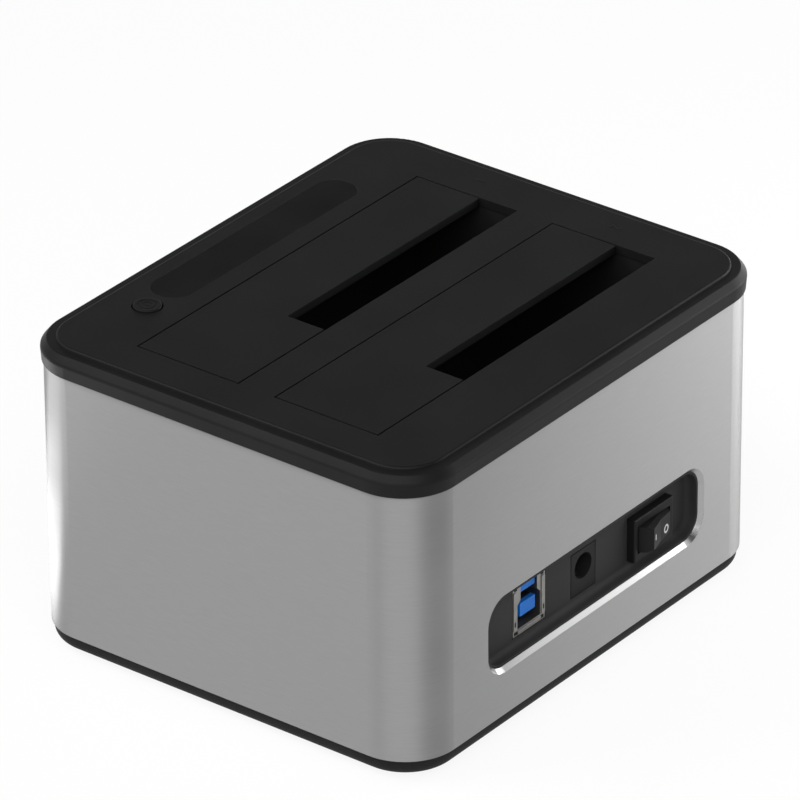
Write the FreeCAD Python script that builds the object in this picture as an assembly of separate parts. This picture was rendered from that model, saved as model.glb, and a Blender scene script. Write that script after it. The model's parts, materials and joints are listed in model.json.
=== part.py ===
import FreeCAD, Part
import math
import os

# A dual-bay hard-drive dock and duplicator, in millimetres.
# +Z is up and Z = 0 is the surface that the rubber feet stand on.
# The drive bays run along X.  The front (buttons and lights) faces -Y and the ports face +Y.

# ------------------------------------------------------------------ outer form
CORNER_RADIUS = 14.0       # upright corners of the top cover
SLEEVE_INSET = 0.45        # sleeve face behind the cover's lower edge
SLEEVE_WALL = 1.95
SLEEVE_HEIGHT = 67.45
BASE_INSET = 0.65          # base side face behind the sleeve's face
BASE_LIP = 4.25            # part of the base that shows below the sleeve
BASE_FLOOR = 2.0
BASE_WALL = 2.4
BASE_EDGE_RADIUS = 2.6
FOOT_STAND = 1.5           # how far the feet hold the base off the table

# ------------------------------------------------------------------ top cover
COVER_SIDE = 3.3           # side band
BAND_SPREAD = 0.25         # it leans out by this much, up to the bevel
BEVEL_DROP = 1.85          # bevel above it
BEVEL_RUN = 1.5
BEVEL_FILLET = 1.2         # where the bevel meets the side band
LEDGE_FILLET = 0.4         # where it meets the ledge
LEDGE_WIDTH = 2.15         # level step inside the bevel
PLATEAU_RISE = 0.7         # rounded step up to the top plate
PLATEAU_FILLET = 0.65
COVER_PLATE = 2.2
COVER_WALL = 2.4
SKIRT_DEPTH = 3.0          # locating skirts that stand inside the sleeve
SKIRT_WALL = 1.4
SKIRT_CLEARANCE = 0.15

# ------------------------------------------------------------------ drive bays
BAY_LENGTH = 103.5         # opening for a 3.5 inch drive, 101.6 long
BAY_WIDTH = 29.2           # 26.1 thick drive beside the folded flap
BAY_PITCH = 39.1
SLOT_LENGTH = 72.1         # slot for a 2.5 inch drive, 69.85 long
SLOT_WIDTH = 10.9
DRIVE_REST_HEIGHT = 25.0   # level that a drive stands on
WELL_WALL = 1.5
WELL_FLOOR = 2.0
WELL_MARGIN = 0.2          # well walls stand back from the opening in the cover
WELL_HINGE_SETBACK = 0.8   # hinge-side wall stands back further for the folded flap
EAR_SIZE = 7.0
EAR_THICKNESS = 2.0
EAR_DROP = 5.85            # ear's top below the cover plate
LEFT_EAR_ROOM = 3.85       # from the ears to the cover's skirt
RIGHT_EAR_ROOM = 0.75

# ------------------------------------------------------------------ flaps and hinges
FLAP_GAP = 0.5
FLAP_THICKNESS = 2.0
FLAP_INTRUSION = 1.6       # how far the folded flap stands into the bay
HINGE_PIN_RADIUS = 1.0
PIN_FIT = 0.05
KNUCKLE_RADIUS = 2.0
KNUCKLE_HEADROOM = 0.35
ARM_WIDTH = 8.0
ARM_FROM_END = 11.75       # middle of a hinge arm, from the end of the bay
ARM_REACH = 3.4            # arm runs this far under the flap
ARM_SIDE_CLEARANCE = 0.4
BEARING_WIDTH = 5.0
BEARING_FROM_END = 4.25
BEARING_BACK = 2.4         # bearing block behind the hinge axis
BEARING_DROP = 2.0         # and below the wall's top
SPRING_WIRE = 0.6
SPRING_TURNS = 5
SPRING_PITCH = 0.68
SPRING_OFFSET = 24.0
SPRING_FLAP_LEG = 7.0
SPRING_COVER_LEG = 2.4
SPRING_PAD_WIDTH = 5.0     # pad under the flap that the spring's leg bears on

# ------------------------------------------------------------------ button and indicator
PANEL_FROM_END = 11.95     # from the front bay's end
PANEL_BEFORE_BAY = 5.5
PANEL_FROM_FRONT = 7.6     # from the cover's front edge
PANEL_LENGTH = 69.9
PANEL_WIDTH = 11.0
PANEL_THICKNESS = 1.0
PANEL_LEDGE = 1.8
PANEL_CLEARANCE = 0.05
LED_COUNT = 7
LED_PITCH = 9.0
LED_SIZE = (3.2, 1.6, 0.8)
LED_HOLE_RADIUS = 1.95
BAFFLE_MARGIN = 1.2
BUTTON_BESIDE_PANEL = 5.35
BUTTON_BEFORE_BAY = 10.0
BUTTON_RADIUS = 3.35
BUTTON_GAP = 0.3
BUTTON_PROUD = 0.45
BUTTON_DOME = 0.3           # rounding of the cap's edge
BUTTON_DISH = (2.45, 0.15)  # radius and depth of the hollow in its top
BUTTON_FLANGE = 1.1
BUTTON_FLANGE_THICKNESS = 1.0
BUTTON_STEM_RADIUS = 2.2
BUTTON_TRAVEL = 0.5
TACT_SIZE = 6.0
TACT_HEIGHT = 3.5
PLUNGER_RADIUS = 1.7
PLUNGER_CLEARANCE = 0.1
PLUNGER_HEIGHT = 1.0
PLUNGER_DEPTH = 1.0
INDICATOR_BOARD_THICKNESS = 1.2
INDICATOR_BOARD_DROP = 6.35
INDICATOR_BOARD_GAP = 0.45   # to the cover's skirt
INDICATOR_BOARD_SETBACK = 0.95   # from the front well's bearings
INDICATOR_BOARD_END = 3.5    # beyond its screws
BOSS_BESIDE_PANEL = 6.25
BOSS_BESIDE_BUTTON = 7.5
BOSS_FROM_BOARD_EDGE = 4.6
BOARD_BOSS_RADIUS = 2.4

# ------------------------------------------------------------------ main board
BOARD_SIDE_GAP = 6.3       # to the sleeve's wall
BOARD_FRONT_REACH = 13.8   # in front of the front bay
BOARD_THICKNESS = 1.6
BOARD_TOP = 20.25
BOARD_PANEL_GAP = 0.5
SATA_LENGTH = 43.0
SATA_WIDTH = 5.6
SATA_HEIGHT = 9.0
SATA_FROM_END = 26.2       # receptacle's middle from the bay's end
SATA_FROM_SIDE = 4.0       # and from the bay's side
SATA_WINDOW_GAP = 0.6
SATA_SLOT_WIDTH = 2.4
SATA_SLOT_DEPTH = 6.0
SATA_SIGNAL_SLOT = 10.4
SATA_POWER_SLOT = 20.6
SATA_SLOT_BRIDGE = 2.2
SATA_SIGNAL_PINS = 7
SATA_POWER_PINS = 15
SATA_CONTACT_PITCH = 1.27
SATA_CONTACT = (0.8, 0.35)
CHIP_HEIGHT = 1.0
# chips: place from the middle of the bays, then size
BRIDGE_CHIP = (24.45, -20.75, 10.0, 10.0)
MEMORY_CHIP = (32.45, -6.25, 5.3, 4.0)
CRYSTAL = (16.45, -11.25, 3.2, 2.5)
CAPACITOR_RADIUS = 3.15
CAPACITOR_HEIGHT = 7.7
CAPACITOR_OFFSETS = (4.45, 12.45, 20.45)   # along X from the middle of the bays
CAPACITOR_BEFORE_BAY = 8.6
INDUCTOR_SIZE = 6.8
INDUCTOR_HEIGHT = 3.0
INDUCTOR_CORNER = 1.2
INDUCTOR_PLACE = (31.45, 9.1)      # from the middle of the bays, and before the front bay
HEADER_SIZE = (9.0, 4.2, 5.0)
HEADER_PLACE = (-23.55, 9.6)
RIBBON_SIZE = (7.0, 0.9)
RIBBON_STRAIGHT = 9.0
BEND_SHARE = 0.45          # of the shorter run beside a bend, taken up by its arc

# ------------------------------------------------------------------ rear ports
WINDOW_X = -1.1
WINDOW_ABOVE_BOARD = 6.41
WINDOW_LENGTH = 80.3
WINDOW_HEIGHT = 18.0
WINDOW_RADIUS = 5.4
WINDOW_CHAMFER = 1.0       # bright edge cut round the window
RIM_WALL = 0.55            # the port panel's rim, which lines the window
RIM_CLEARANCE = 0.05
TRAY_RECESS = 3.75         # panel face behind the sleeve's outer face
TRAY_THICKNESS = 2.0
TRAY_BORDER = 3.0
TRAY_FILLET = 1.4
PANEL_SEAT_LENGTH = 60.0
PANEL_CATCH = (1.5, 3.2)   # lip behind the panel's lower edge
PORT_CLEARANCE = 0.25
PORT_DEPTH = 14.2          # of the receptacle and the jack
PORT_BEHIND_WELL = 0.5
USB_FROM_END = 19.15       # from the window's +X end
USB_WIDTH = 12.0
USB_HEIGHT = 12.9
USB_BODY_WIDTH = 8.5
USB_BODY_HEIGHT = 7.3
USB_STEP_WIDTH = 6.2
USB_STEP_HEIGHT = 3.4
USB_SILL = 1.5             # shell below the opening
USB_CAVITY_DEPTH = 9.5
USB_TONGUE = (5.6, 3.3)
USB_TONGUE_LIFT = 2.5      # above the sill
USB_SUPER_TONGUE = (5.4, 1.9)
USB_TONGUE_SETBACK = 0.4
DC_OFFSET = 0.5            # from the window's middle
DC_WIDTH = 9.0
DC_HEIGHT = 11.0
DC_BORE_RADIUS = 3.2
DC_BORE_HEIGHT = 6.6       # bore's axis above the board
DC_BORE_DEPTH = 9.5
DC_PIN_RADIUS = 1.05
DC_PIN_LENGTH = 6.6
DC_PIN_TIP = 0.4
DC_PIN_ROOT = (1.5, 2.0)   # radius and length of the root held behind the bore

# ------------------------------------------------------------------ power switch
SWITCH_FROM_END = 16.35    # from the window's -X end
SWITCH_DROP = 0.96         # below the middle of the window
BEZEL_LENGTH = 14.9
BEZEL_HEIGHT = 11.1
BEZEL_THICKNESS = 2.2
SWITCH_BODY_LENGTH = 13.6
SWITCH_BODY_HEIGHT = 8.9
SWITCH_BODY_DEPTH = 10.3
SWITCH_FIT = 0.1
SWITCH_WALL = 0.9
ROCKER_CLEARANCE = 0.3
ROCKER_PIVOT_DEPTH = 1.95  # axis behind the bezel's face
ROCKER_FACE = 3.44          # face's middle in front of the axis
ROCKER_RADIUS = 5.95       # ends of the rocker, about its axis
ROCKER_V_ANGLE = 4.0
ROCKER_TILT = 13.0
ROCKER_KEEL = 2.2
TRUNNION_RADIUS = 0.7
TRUNNION_FIT = 0.05
TRUNNION_LENGTH = 0.6
TERMINAL_SIZE = (0.5, 3.0, 3.6)
TERMINAL_PITCH = 7.0
LEAD_RADIUS = 0.5
LEAD_SHIFT = 1.2
SWITCH_CAVITY_DEPTH = 7.4
BEZEL_FILLET = 0.4
ROCKER_CHAMFER = (0.55, 1.5)   # sides of the rocker's face: in from the side, and back from the face

# ------------------------------------------------------------------ feet and fasteners
FOOT_RADIUS = 6.0
FOOT_SEAT = 0.8
FOOT_FROM_EDGE = 14.0
FOOT_CHAMFER = 0.4
FOOT_GAP = 0.1
BASE_SCREW_OFFSET = (44.0, -6.0)   # from the middle of each bay
POST_RADIUS = 4.4
WELL_BOSS_RADIUS = 3.2
PILOT_DEPTH = 4.25
SCREW_RADIUS = 1.5
SCREW_HOLE_GAP = 0.15
SCREW_HEAD_RADIUS = 2.75
SCREW_HEAD_HEIGHT = 2.0
SCREW_HEAD_GAP = 0.3
SCREW_SEAT_HEIGHT = 6.0
SCREW_TIP_GAP = 0.1
SMALL_SCREW_RADIUS = 1.0
SMALL_HEAD_RADIUS = 1.9
SMALL_HEAD_HEIGHT = 1.3
SMALL_SCREW_BITE = 4.0
SMALL_SCREW_TIP_GAP = 0.3
EAR_BOSS_RADIUS = 2.8
CROSS_LENGTH = 1.2         # cross recess, as shares of the head's radius
CROSS_WIDTH = 0.3

# ------------------------------------------------------------------ levels and places that follow
base_bottom = FOOT_STAND
base_floor_top = base_bottom + BASE_FLOOR
sleeve_bottom = base_bottom + BASE_LIP
sleeve_top = sleeve_bottom + SLEEVE_HEIGHT
band_top = sleeve_top + COVER_SIDE
ledge_level = band_top + BEVEL_DROP
cover_top = ledge_level + PLATEAU_RISE
plate_under = cover_top - COVER_PLATE

side_band = SLEEVE_INSET + SLEEVE_WALL + SKIRT_CLEARANCE + SKIRT_WALL + EAR_SIZE + WELL_WALL + WELL_MARGIN
front_band = PANEL_FROM_FRONT + PANEL_WIDTH + PANEL_BEFORE_BAY
rear_band = WELL_MARGIN + WELL_WALL + PORT_BEHIND_WELL + PORT_DEPTH + TRAY_RECESS + SLEEVE_INSET
cover_width = BAY_LENGTH + 2 * side_band + LEFT_EAR_ROOM + RIGHT_EAR_ROOM
cover_depth = front_band + BAY_WIDTH + BAY_PITCH + rear_band
bays_x = (LEFT_EAR_ROOM - RIGHT_EAR_ROOM) / 2
bays_y = (front_band - rear_band) / 2
front_bay_edge = front_band - cover_depth / 2

sleeve_width = cover_width - 2 * SLEEVE_INSET
sleeve_depth = cover_depth - 2 * SLEEVE_INSET
sleeve_radius = CORNER_RADIUS - SLEEVE_INSET
inner_width = sleeve_width - 2 * SLEEVE_WALL
inner_depth = sleeve_depth - 2 * SLEEVE_WALL
inner_radius = sleeve_radius - SLEEVE_WALL

board_under = BOARD_TOP - BOARD_THICKNESS
well_bottom = DRIVE_REST_HEIGHT - WELL_FLOOR
hinge_z = plate_under - KNUCKLE_HEADROOM - KNUCKLE_RADIUS
indicator_top = plate_under - INDICATOR_BOARD_DROP

sleeve_back = sleeve_depth / 2
tray_face = sleeve_back - TRAY_RECESS
tray_back = tray_face - TRAY_THICKNESS
bezel_face = tray_face + BEZEL_THICKNESS
rocker_y = bezel_face - ROCKER_PIVOT_DEPTH
window_centre = (WINDOW_X, BOARD_TOP + WINDOW_ABOVE_BOARD)
usb_x = WINDOW_X + WINDOW_LENGTH / 2 - USB_FROM_END
dc_x = WINDOW_X + DC_OFFSET
switch_x = WINDOW_X - WINDOW_LENGTH / 2 + SWITCH_FROM_END
switch_z = window_centre[1] - SWITCH_DROP
board_front = front_bay_edge - BOARD_FRONT_REACH
board_rear = tray_back - BOARD_PANEL_GAP
board_length = inner_width - 2 * BOARD_SIDE_GAP

hinge_back = cover_top - hinge_z - FLAP_INTRUSION     # hinge axis outside the bay's edge
arm_offset = BAY_LENGTH / 2 - ARM_FROM_END
bearing_offset = BAY_LENGTH / 2 - BEARING_FROM_END
panel_low_x = bays_x - BAY_LENGTH / 2 + PANEL_FROM_END
panel_centre = (panel_low_x + PANEL_LENGTH / 2, front_bay_edge - PANEL_BEFORE_BAY - PANEL_WIDTH / 2)
button_centre = (panel_low_x + PANEL_LENGTH + BUTTON_BESIDE_PANEL, front_bay_edge - BUTTON_BEFORE_BAY)
indicator_front = SKIRT_CLEARANCE + SKIRT_WALL + INDICATOR_BOARD_GAP - inner_depth / 2
indicator_back = front_bay_edge - hinge_back - BEARING_BACK - INDICATOR_BOARD_SETBACK
boss_y = indicator_front + BOSS_FROM_BOARD_EDGE
board_bosses = ((panel_low_x - BOSS_BESIDE_PANEL, boss_y), (button_centre[0] + BOSS_BESIDE_BUTTON, boss_y))
header_place = (bays_x + HEADER_PLACE[0], front_bay_edge - HEADER_PLACE[1])
indicator_header_y = (indicator_front + indicator_back) / 2

spring_radius = plate_under - hinge_z - SPRING_WIRE / 2
spring_width = SPRING_TURNS * SPRING_PITCH
tact_top = indicator_top + TACT_HEIGHT
plunger_top = tact_top + PLUNGER_HEIGHT
tray_bottom = window_centre[1] - WINDOW_HEIGHT / 2 - TRAY_BORDER
dc_axis_z = BOARD_TOP + DC_BORE_HEIGHT
dc_bore_end = tray_face - DC_BORE_DEPTH
dc_pin_back = dc_bore_end - DC_PIN_ROOT[1]
switch_back = tray_face - SWITCH_BODY_DEPTH
cavity_height = SWITCH_BODY_HEIGHT - 2 * SWITCH_WALL

BAYS = ("front", "rear")
ENDS = (-1, 1)


def bay_limits(bay):
    """Low X, high X, low Y and high Y of a bay's opening in the cover."""
    side = -0.5 if bay == "front" else 0.5
    low_x = bays_x - BAY_LENGTH / 2
    low_y = bays_y + side * BAY_PITCH - BAY_WIDTH / 2
    return low_x, low_x + BAY_LENGTH, low_y, low_y + BAY_WIDTH


def slot_limits(bay):
    """The corner of a bay that the flap leaves open."""
    low_x, _, _, high_y = bay_limits(bay)
    return low_x, low_x + SLOT_LENGTH, high_y - SLOT_WIDTH, high_y


def well_limits(bay):
    """The inside of the well below a bay."""
    low_x, high_x, low_y, high_y = bay_limits(bay)
    return (low_x - WELL_MARGIN, high_x + WELL_MARGIN,
            low_y - WELL_HINGE_SETBACK, high_y + WELL_MARGIN)


def hinge_y(bay):
    """The hinge axis lies outside the opening, so that the folded flap hugs the wall."""
    return bay_limits(bay)[2] - hinge_back


def sata_centre(bay):
    low_x, _, _, high_y = bay_limits(bay)
    return low_x + SATA_FROM_END, high_y - SATA_FROM_SIDE


def ear_centres(bay):
    """Screw ears beyond the two ends of a well."""
    low_x, high_x, low_y, high_y = well_limits(bay)
    reach = WELL_WALL + EAR_SIZE / 2
    middle = (low_y + high_y) / 2
    return (low_x - reach, middle), (high_x + reach, middle)


def base_screw_places(bay):
    low_x, high_x, low_y, high_y = bay_limits(bay)
    middle_y = (low_y + high_y) / 2 + BASE_SCREW_OFFSET[1]
    return [(bays_x + end * BASE_SCREW_OFFSET[0], middle_y) for end in ENDS]


# ------------------------------------------------------------------ shape helpers
def vec(x, y, z):
    return FreeCAD.Vector(x, y, z)


def block(low_x, high_x, low_y, high_y, low_z, high_z):
    return Part.makeBox(high_x - low_x, high_y - low_y, high_z - low_z, vec(low_x, low_y, low_z))


def centred_block(x, y, size_x, size_y, low_z, high_z):
    return block(x - size_x / 2, x + size_x / 2, y - size_y / 2, y + size_y / 2, low_z, high_z)


def rear_block(x, z, size_x, size_z, low_y, high_y):
    """A block centred on a place of the rear face."""
    return block(x - size_x / 2, x + size_x / 2, low_y, high_y, z - size_z / 2, z + size_z / 2)


def upright(radius, place, low_z, high_z):
    return Part.makeCylinder(radius, high_z - low_z, vec(place[0], place[1], low_z))


def along_x(radius, low_x, high_x, y, z):
    return Part.makeCylinder(radius, high_x - low_x, vec(low_x, y, z), vec(1, 0, 0))


def along_y(radius, low_y, high_y, x, z):
    return Part.makeCylinder(radius, high_y - low_y, vec(x, low_y, z), vec(0, 1, 0))


def rounded_wire(length, height, radius, level):
    """A rounded rectangle about the origin, in a level plane."""
    corners = ((1, 1), (-1, 1), (-1, -1), (1, -1))
    quarter = math.pi / 2
    arcs = []
    for index, (side_x, side_y) in enumerate(corners):
        middle = vec(side_x * (length / 2 - radius), side_y * (height / 2 - radius), level)
        circle = Part.Circle(middle, vec(0, 0, 1), radius)
        arcs.append(circle.toShape(index * quarter, (index + 1) * quarter))
    edges = []
    for arc, following in zip(arcs, arcs[1:] + arcs[:1]):
        end = arc.valueAt(arc.LastParameter)
        begin = following.valueAt(following.FirstParameter)
        edges.append(arc)
        if end.distanceToPoint(begin) > 1e-6:
            edges.append(Part.LineSegment(end, begin).toShape())
    return Part.Wire(edges)


def rounded_prism(length, height, radius, low, high):
    face = Part.Face(rounded_wire(length, height, radius, low))
    return face.extrude(vec(0, 0, high - low))


def rounded_taper(length, height, radius, low, high, inset):
    """A rounded prism whose upper outline is smaller by the inset all round."""
    lower = rounded_wire(length, height, radius, low)
    upper = rounded_wire(length - 2 * inset, height - 2 * inset, radius - inset, high)
    return Part.makeLoft([lower, upper], True, True)


def inset_prism(length, height, radius, inset, low, high):
    return rounded_prism(length - 2 * inset, height - 2 * inset, radius - inset, low, high)


def facing_rear(shape, x, z):
    """Turns a shape drawn flat about the origin, so that its top faces +Y."""
    shape.rotate(vec(0, 0, 0), vec(1, 0, 0), -90)
    shape.translate(vec(x, 0, z))
    return shape


def stadium(length, width, low, high):
    """A round-ended plate in the place of the indicator window."""
    plate = rounded_prism(length, width, width / 2, low, high)
    plate.translate(vec(panel_centre[0], panel_centre[1], 0))
    return plate


def outline_prism(points, direction):
    corners = [vec(*point) for point in points]
    wire = Part.makePolygon(corners + corners[:1])
    return Part.Face(wire).extrude(vec(*direction))


def fused(shapes):
    return shapes[0].fuse(shapes[1:]).removeSplitter()


def cut_by(shape, cutters):
    return shape.cut(cutters).removeSplitter()


def level_edges(shape, level):
    """The edges of a shape that lie in one level plane."""
    found = []
    for edge in shape.Edges:
        box = edge.BoundBox
        if abs(box.ZMin - level) < 1e-4 and abs(box.ZMax - level) < 1e-4:
            found.append(edge)
    return found


def bent_path(points):
    """Straight runs joined by the largest tangent arcs that the runs allow."""
    places = [vec(*point) for point in points]
    edges = []
    start = places[0]
    for before, corner, after in zip(places, places[1:], places[2:]):
        back = before - corner
        ahead = after - corner
        reach = BEND_SHARE * min(back.Length, ahead.Length)
        half_angle = back.getAngle(ahead) / 2
        back.normalize()
        ahead.normalize()
        middle = back + ahead
        middle.normalize()
        arc_start = corner + back * reach
        arc_end = corner + ahead * reach
        radius = reach * math.tan(half_angle)
        arc_middle = corner + middle * (radius / math.sin(half_angle) - radius)
        edges.append(Part.LineSegment(start, arc_start).toShape())
        edges.append(Part.Arc(arc_start, arc_middle, arc_end).toShape())
        start = arc_end
    edges.append(Part.LineSegment(start, places[-1]).toShape())
    return Part.Wire(edges)


def swept(profile, path):
    shell = Part.BRepOffsetAPI.MakePipeShell(path)
    shell.add(profile)
    shell.build()
    shell.makeSolid()
    return shell.shape()


def circle_wire(radius, centre, normal):
    return Part.Wire(Part.Circle(centre, normal, radius).toShape())


def pan_screw(place, seat_z, shank_radius, shank_length, head_radius, head_height):
    """A screw that points up, its head below the seat and a cross recess in the head."""
    head_low = seat_z - head_height
    bar_length = CROSS_LENGTH * head_radius
    bar_width = CROSS_WIDTH * head_radius
    recess_top = head_low + head_height / 2
    shank = upright(shank_radius, place, seat_z, seat_z + shank_length)
    head = upright(head_radius, place, head_low, seat_z)
    recess = [centred_block(*place, bar_length, bar_width, head_low, recess_top),
              centred_block(*place, bar_width, bar_length, head_low, recess_top)]
    return cut_by(fused([shank, head]), recess)


# ------------------------------------------------------------------ casing
def make_top_cover():
    widest = (cover_width + 2 * BAND_SPREAD, cover_depth + 2 * BAND_SPREAD, CORNER_RADIUS + BAND_SPREAD)
    band = rounded_taper(cover_width, cover_depth, CORNER_RADIUS, sleeve_top, band_top, -BAND_SPREAD)
    bevel = rounded_taper(*widest, band_top, ledge_level, BEVEL_RUN)
    shoulder = fused([band, bevel])
    shoulder = shoulder.makeFillet(BEVEL_FILLET, level_edges(shoulder, band_top))
    shoulder = shoulder.makeFillet(LEDGE_FILLET, level_edges(shoulder, ledge_level))
    plateau = inset_prism(*widest, BEVEL_RUN + LEDGE_WIDTH, ledge_level, cover_top)
    plateau = plateau.makeFillet(PLATEAU_FILLET, level_edges(plateau, cover_top))
    hollow = inset_prism(cover_width, cover_depth, CORNER_RADIUS, COVER_WALL, sleeve_top, plate_under)
    skirt_low = sleeve_top - SKIRT_DEPTH
    skirt = inset_prism(inner_width, inner_depth, inner_radius, SKIRT_CLEARANCE, skirt_low, plate_under)
    skirt_bore = inset_prism(inner_width, inner_depth, inner_radius, SKIRT_CLEARANCE + SKIRT_WALL,
                             skirt_low, plate_under)
    solids = [cut_by(fused([shoulder, plateau]), [hollow]), skirt.cut(skirt_bore)]
    cutters = [stadium(PANEL_LENGTH, PANEL_WIDTH, cover_top - PANEL_THICKNESS, cover_top),
               stadium(PANEL_LENGTH - 2 * PANEL_LEDGE, PANEL_WIDTH - 2 * PANEL_LEDGE,
                       plate_under, cover_top),
               upright(BUTTON_RADIUS + BUTTON_GAP, button_centre, plate_under, cover_top)]
    ear_top = plate_under - EAR_DROP
    for bay in BAYS:
        cutters.append(block(*bay_limits(bay), plate_under, cover_top))
        for place in ear_centres(bay):
            solids.append(upright(EAR_BOSS_RADIUS, place, ear_top, plate_under))
            cutters.append(upright(SMALL_SCREW_RADIUS, place, ear_top, ear_top + SMALL_SCREW_BITE))
    for place in board_bosses:
        solids.append(upright(BOARD_BOSS_RADIUS, place, indicator_top, plate_under))
        cutters.append(upright(SMALL_SCREW_RADIUS, place, indicator_top,
                               indicator_top + SMALL_SCREW_BITE))
    return cut_by(fused(solids), cutters)


def make_outer_sleeve():
    outside = rounded_prism(sleeve_width, sleeve_depth, sleeve_radius, sleeve_bottom, sleeve_top)
    inside = rounded_prism(inner_width, inner_depth, inner_radius, sleeve_bottom, sleeve_top)
    window = facing_rear(rounded_prism(WINDOW_LENGTH, WINDOW_HEIGHT, WINDOW_RADIUS,
                                       inner_depth / 2 - SLEEVE_WALL, sleeve_back), *window_centre)
    chamfer = facing_rear(rounded_taper(WINDOW_LENGTH, WINDOW_HEIGHT, WINDOW_RADIUS,
                                        sleeve_back - WINDOW_CHAMFER, sleeve_back, -WINDOW_CHAMFER),
                          *window_centre)
    return cut_by(outside, [inside, window, chamfer])


def foot_places():
    reach_x = sleeve_width / 2 - BASE_INSET - FOOT_FROM_EDGE
    reach_y = sleeve_depth / 2 - BASE_INSET - FOOT_FROM_EDGE
    return {"front_left": (-reach_x, -reach_y), "front_right": (reach_x, -reach_y),
            "rear_left": (-reach_x, reach_y), "rear_right": (reach_x, reach_y)}


def make_base_cover():
    width = sleeve_width - 2 * BASE_INSET
    depth = sleeve_depth - 2 * BASE_INSET
    radius = sleeve_radius - BASE_INSET
    tub = rounded_prism(width, depth, radius, base_bottom, sleeve_bottom)
    tub = tub.makeFillet(BASE_EDGE_RADIUS, level_edges(tub, base_bottom))
    tub = tub.cut(inset_prism(width, depth, radius, BASE_WALL, base_floor_top, sleeve_bottom))
    rim_top = sleeve_bottom + SKIRT_DEPTH
    rim = inset_prism(inner_width, inner_depth, inner_radius, SKIRT_CLEARANCE, base_floor_top, rim_top)
    rim_bore = inset_prism(inner_width, inner_depth, inner_radius, SKIRT_CLEARANCE + SKIRT_WALL,
                           base_floor_top, rim_top)
    seat_low_x = WINDOW_X - PANEL_SEAT_LENGTH / 2
    seat_high_x = WINDOW_X + PANEL_SEAT_LENGTH / 2
    seat = block(seat_low_x, seat_high_x, tray_back, inner_depth / 2 - SKIRT_CLEARANCE,
                 base_floor_top, tray_bottom)
    catch = block(seat_low_x, seat_high_x, tray_back - PANEL_CATCH[0], tray_back,
                  base_floor_top, tray_bottom + PANEL_CATCH[1])
    solids = [tub, rim.cut(rim_bore), seat, catch]
    cutters = []
    for bay in BAYS:
        for place in base_screw_places(bay):
            solids.append(upright(POST_RADIUS, place, base_floor_top, board_under))
            cutters.append(upright(SCREW_HEAD_RADIUS + SCREW_HEAD_GAP, place,
                                   base_bottom, SCREW_SEAT_HEIGHT))
            cutters.append(upright(SCREW_RADIUS + SCREW_HOLE_GAP, place, base_bottom, board_under))
    for place in foot_places().values():
        cutters.append(upright(FOOT_RADIUS + FOOT_GAP, place, base_bottom, base_bottom + FOOT_SEAT))
    return cut_by(fused(solids), cutters)


def make_foot(place):
    top = base_bottom + FOOT_SEAT
    foot = upright(FOOT_RADIUS, place, 0, top)
    return foot.makeChamfer(FOOT_CHAMFER, level_edges(foot, 0))


# ------------------------------------------------------------------ drive bays
def make_bay_well(bay):
    low_x, high_x, low_y, high_y = well_limits(bay)
    outside = block(low_x - WELL_WALL, high_x + WELL_WALL, low_y - WELL_WALL, high_y + WELL_WALL,
                    well_bottom, plate_under)
    inside = block(low_x, high_x, low_y, high_y, DRIVE_REST_HEIGHT, plate_under)
    axis_y = hinge_y(bay)
    hinge_wall_top = hinge_z - KNUCKLE_RADIUS - KNUCKLE_HEADROOM
    over_hinge_wall = block(low_x, high_x, low_y - WELL_WALL, low_y, hinge_wall_top, plate_under)
    solids = [cut_by(outside, [inside, over_hinge_wall])]
    cutters = []
    for step in (-1, 0, 1):
        x = bays_x + step * bearing_offset
        solids.append(block(x - BEARING_WIDTH / 2, x + BEARING_WIDTH / 2,
                            axis_y - BEARING_BACK, low_y, hinge_wall_top - BEARING_DROP, plate_under))
    cutters.append(along_x(HINGE_PIN_RADIUS, low_x, high_x, axis_y, hinge_z))
    notch_low = hinge_z - arm_sweep(bay) - ARM_SIDE_CLEARANCE
    notch_half = ARM_WIDTH / 2 + ARM_SIDE_CLEARANCE
    for end in ENDS:
        x = bays_x + end * arm_offset
        cutters.append(block(x - notch_half, x + notch_half, low_y - WELL_WALL, low_y,
                             notch_low, plate_under))
    for place in ear_centres(bay):
        ear_top = plate_under - EAR_DROP
        solids.append(centred_block(*place, EAR_SIZE, EAR_SIZE, ear_top - EAR_THICKNESS, ear_top))
        cutters.append(upright(SMALL_SCREW_RADIUS + SCREW_HOLE_GAP, place,
                               ear_top - EAR_THICKNESS, ear_top))
    for place in base_screw_places(bay):
        solids.append(upright(WELL_BOSS_RADIUS, place, BOARD_TOP, well_bottom))
        cutters.append(upright(SCREW_RADIUS, place, BOARD_TOP, BOARD_TOP + PILOT_DEPTH))
    cutters.append(centred_block(*sata_centre(bay), SATA_LENGTH + 2 * SATA_WINDOW_GAP,
                                 SATA_WIDTH + 2 * SATA_WINDOW_GAP, well_bottom, DRIVE_REST_HEIGHT))
    return cut_by(fused(solids), cutters)


def arm_sweep(bay):
    """Distance from the hinge axis to the far corner of an arm."""
    reach = bay_limits(bay)[2] + FLAP_GAP + ARM_REACH - hinge_y(bay)
    return math.hypot(reach, cover_top - FLAP_THICKNESS - hinge_z)


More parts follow.
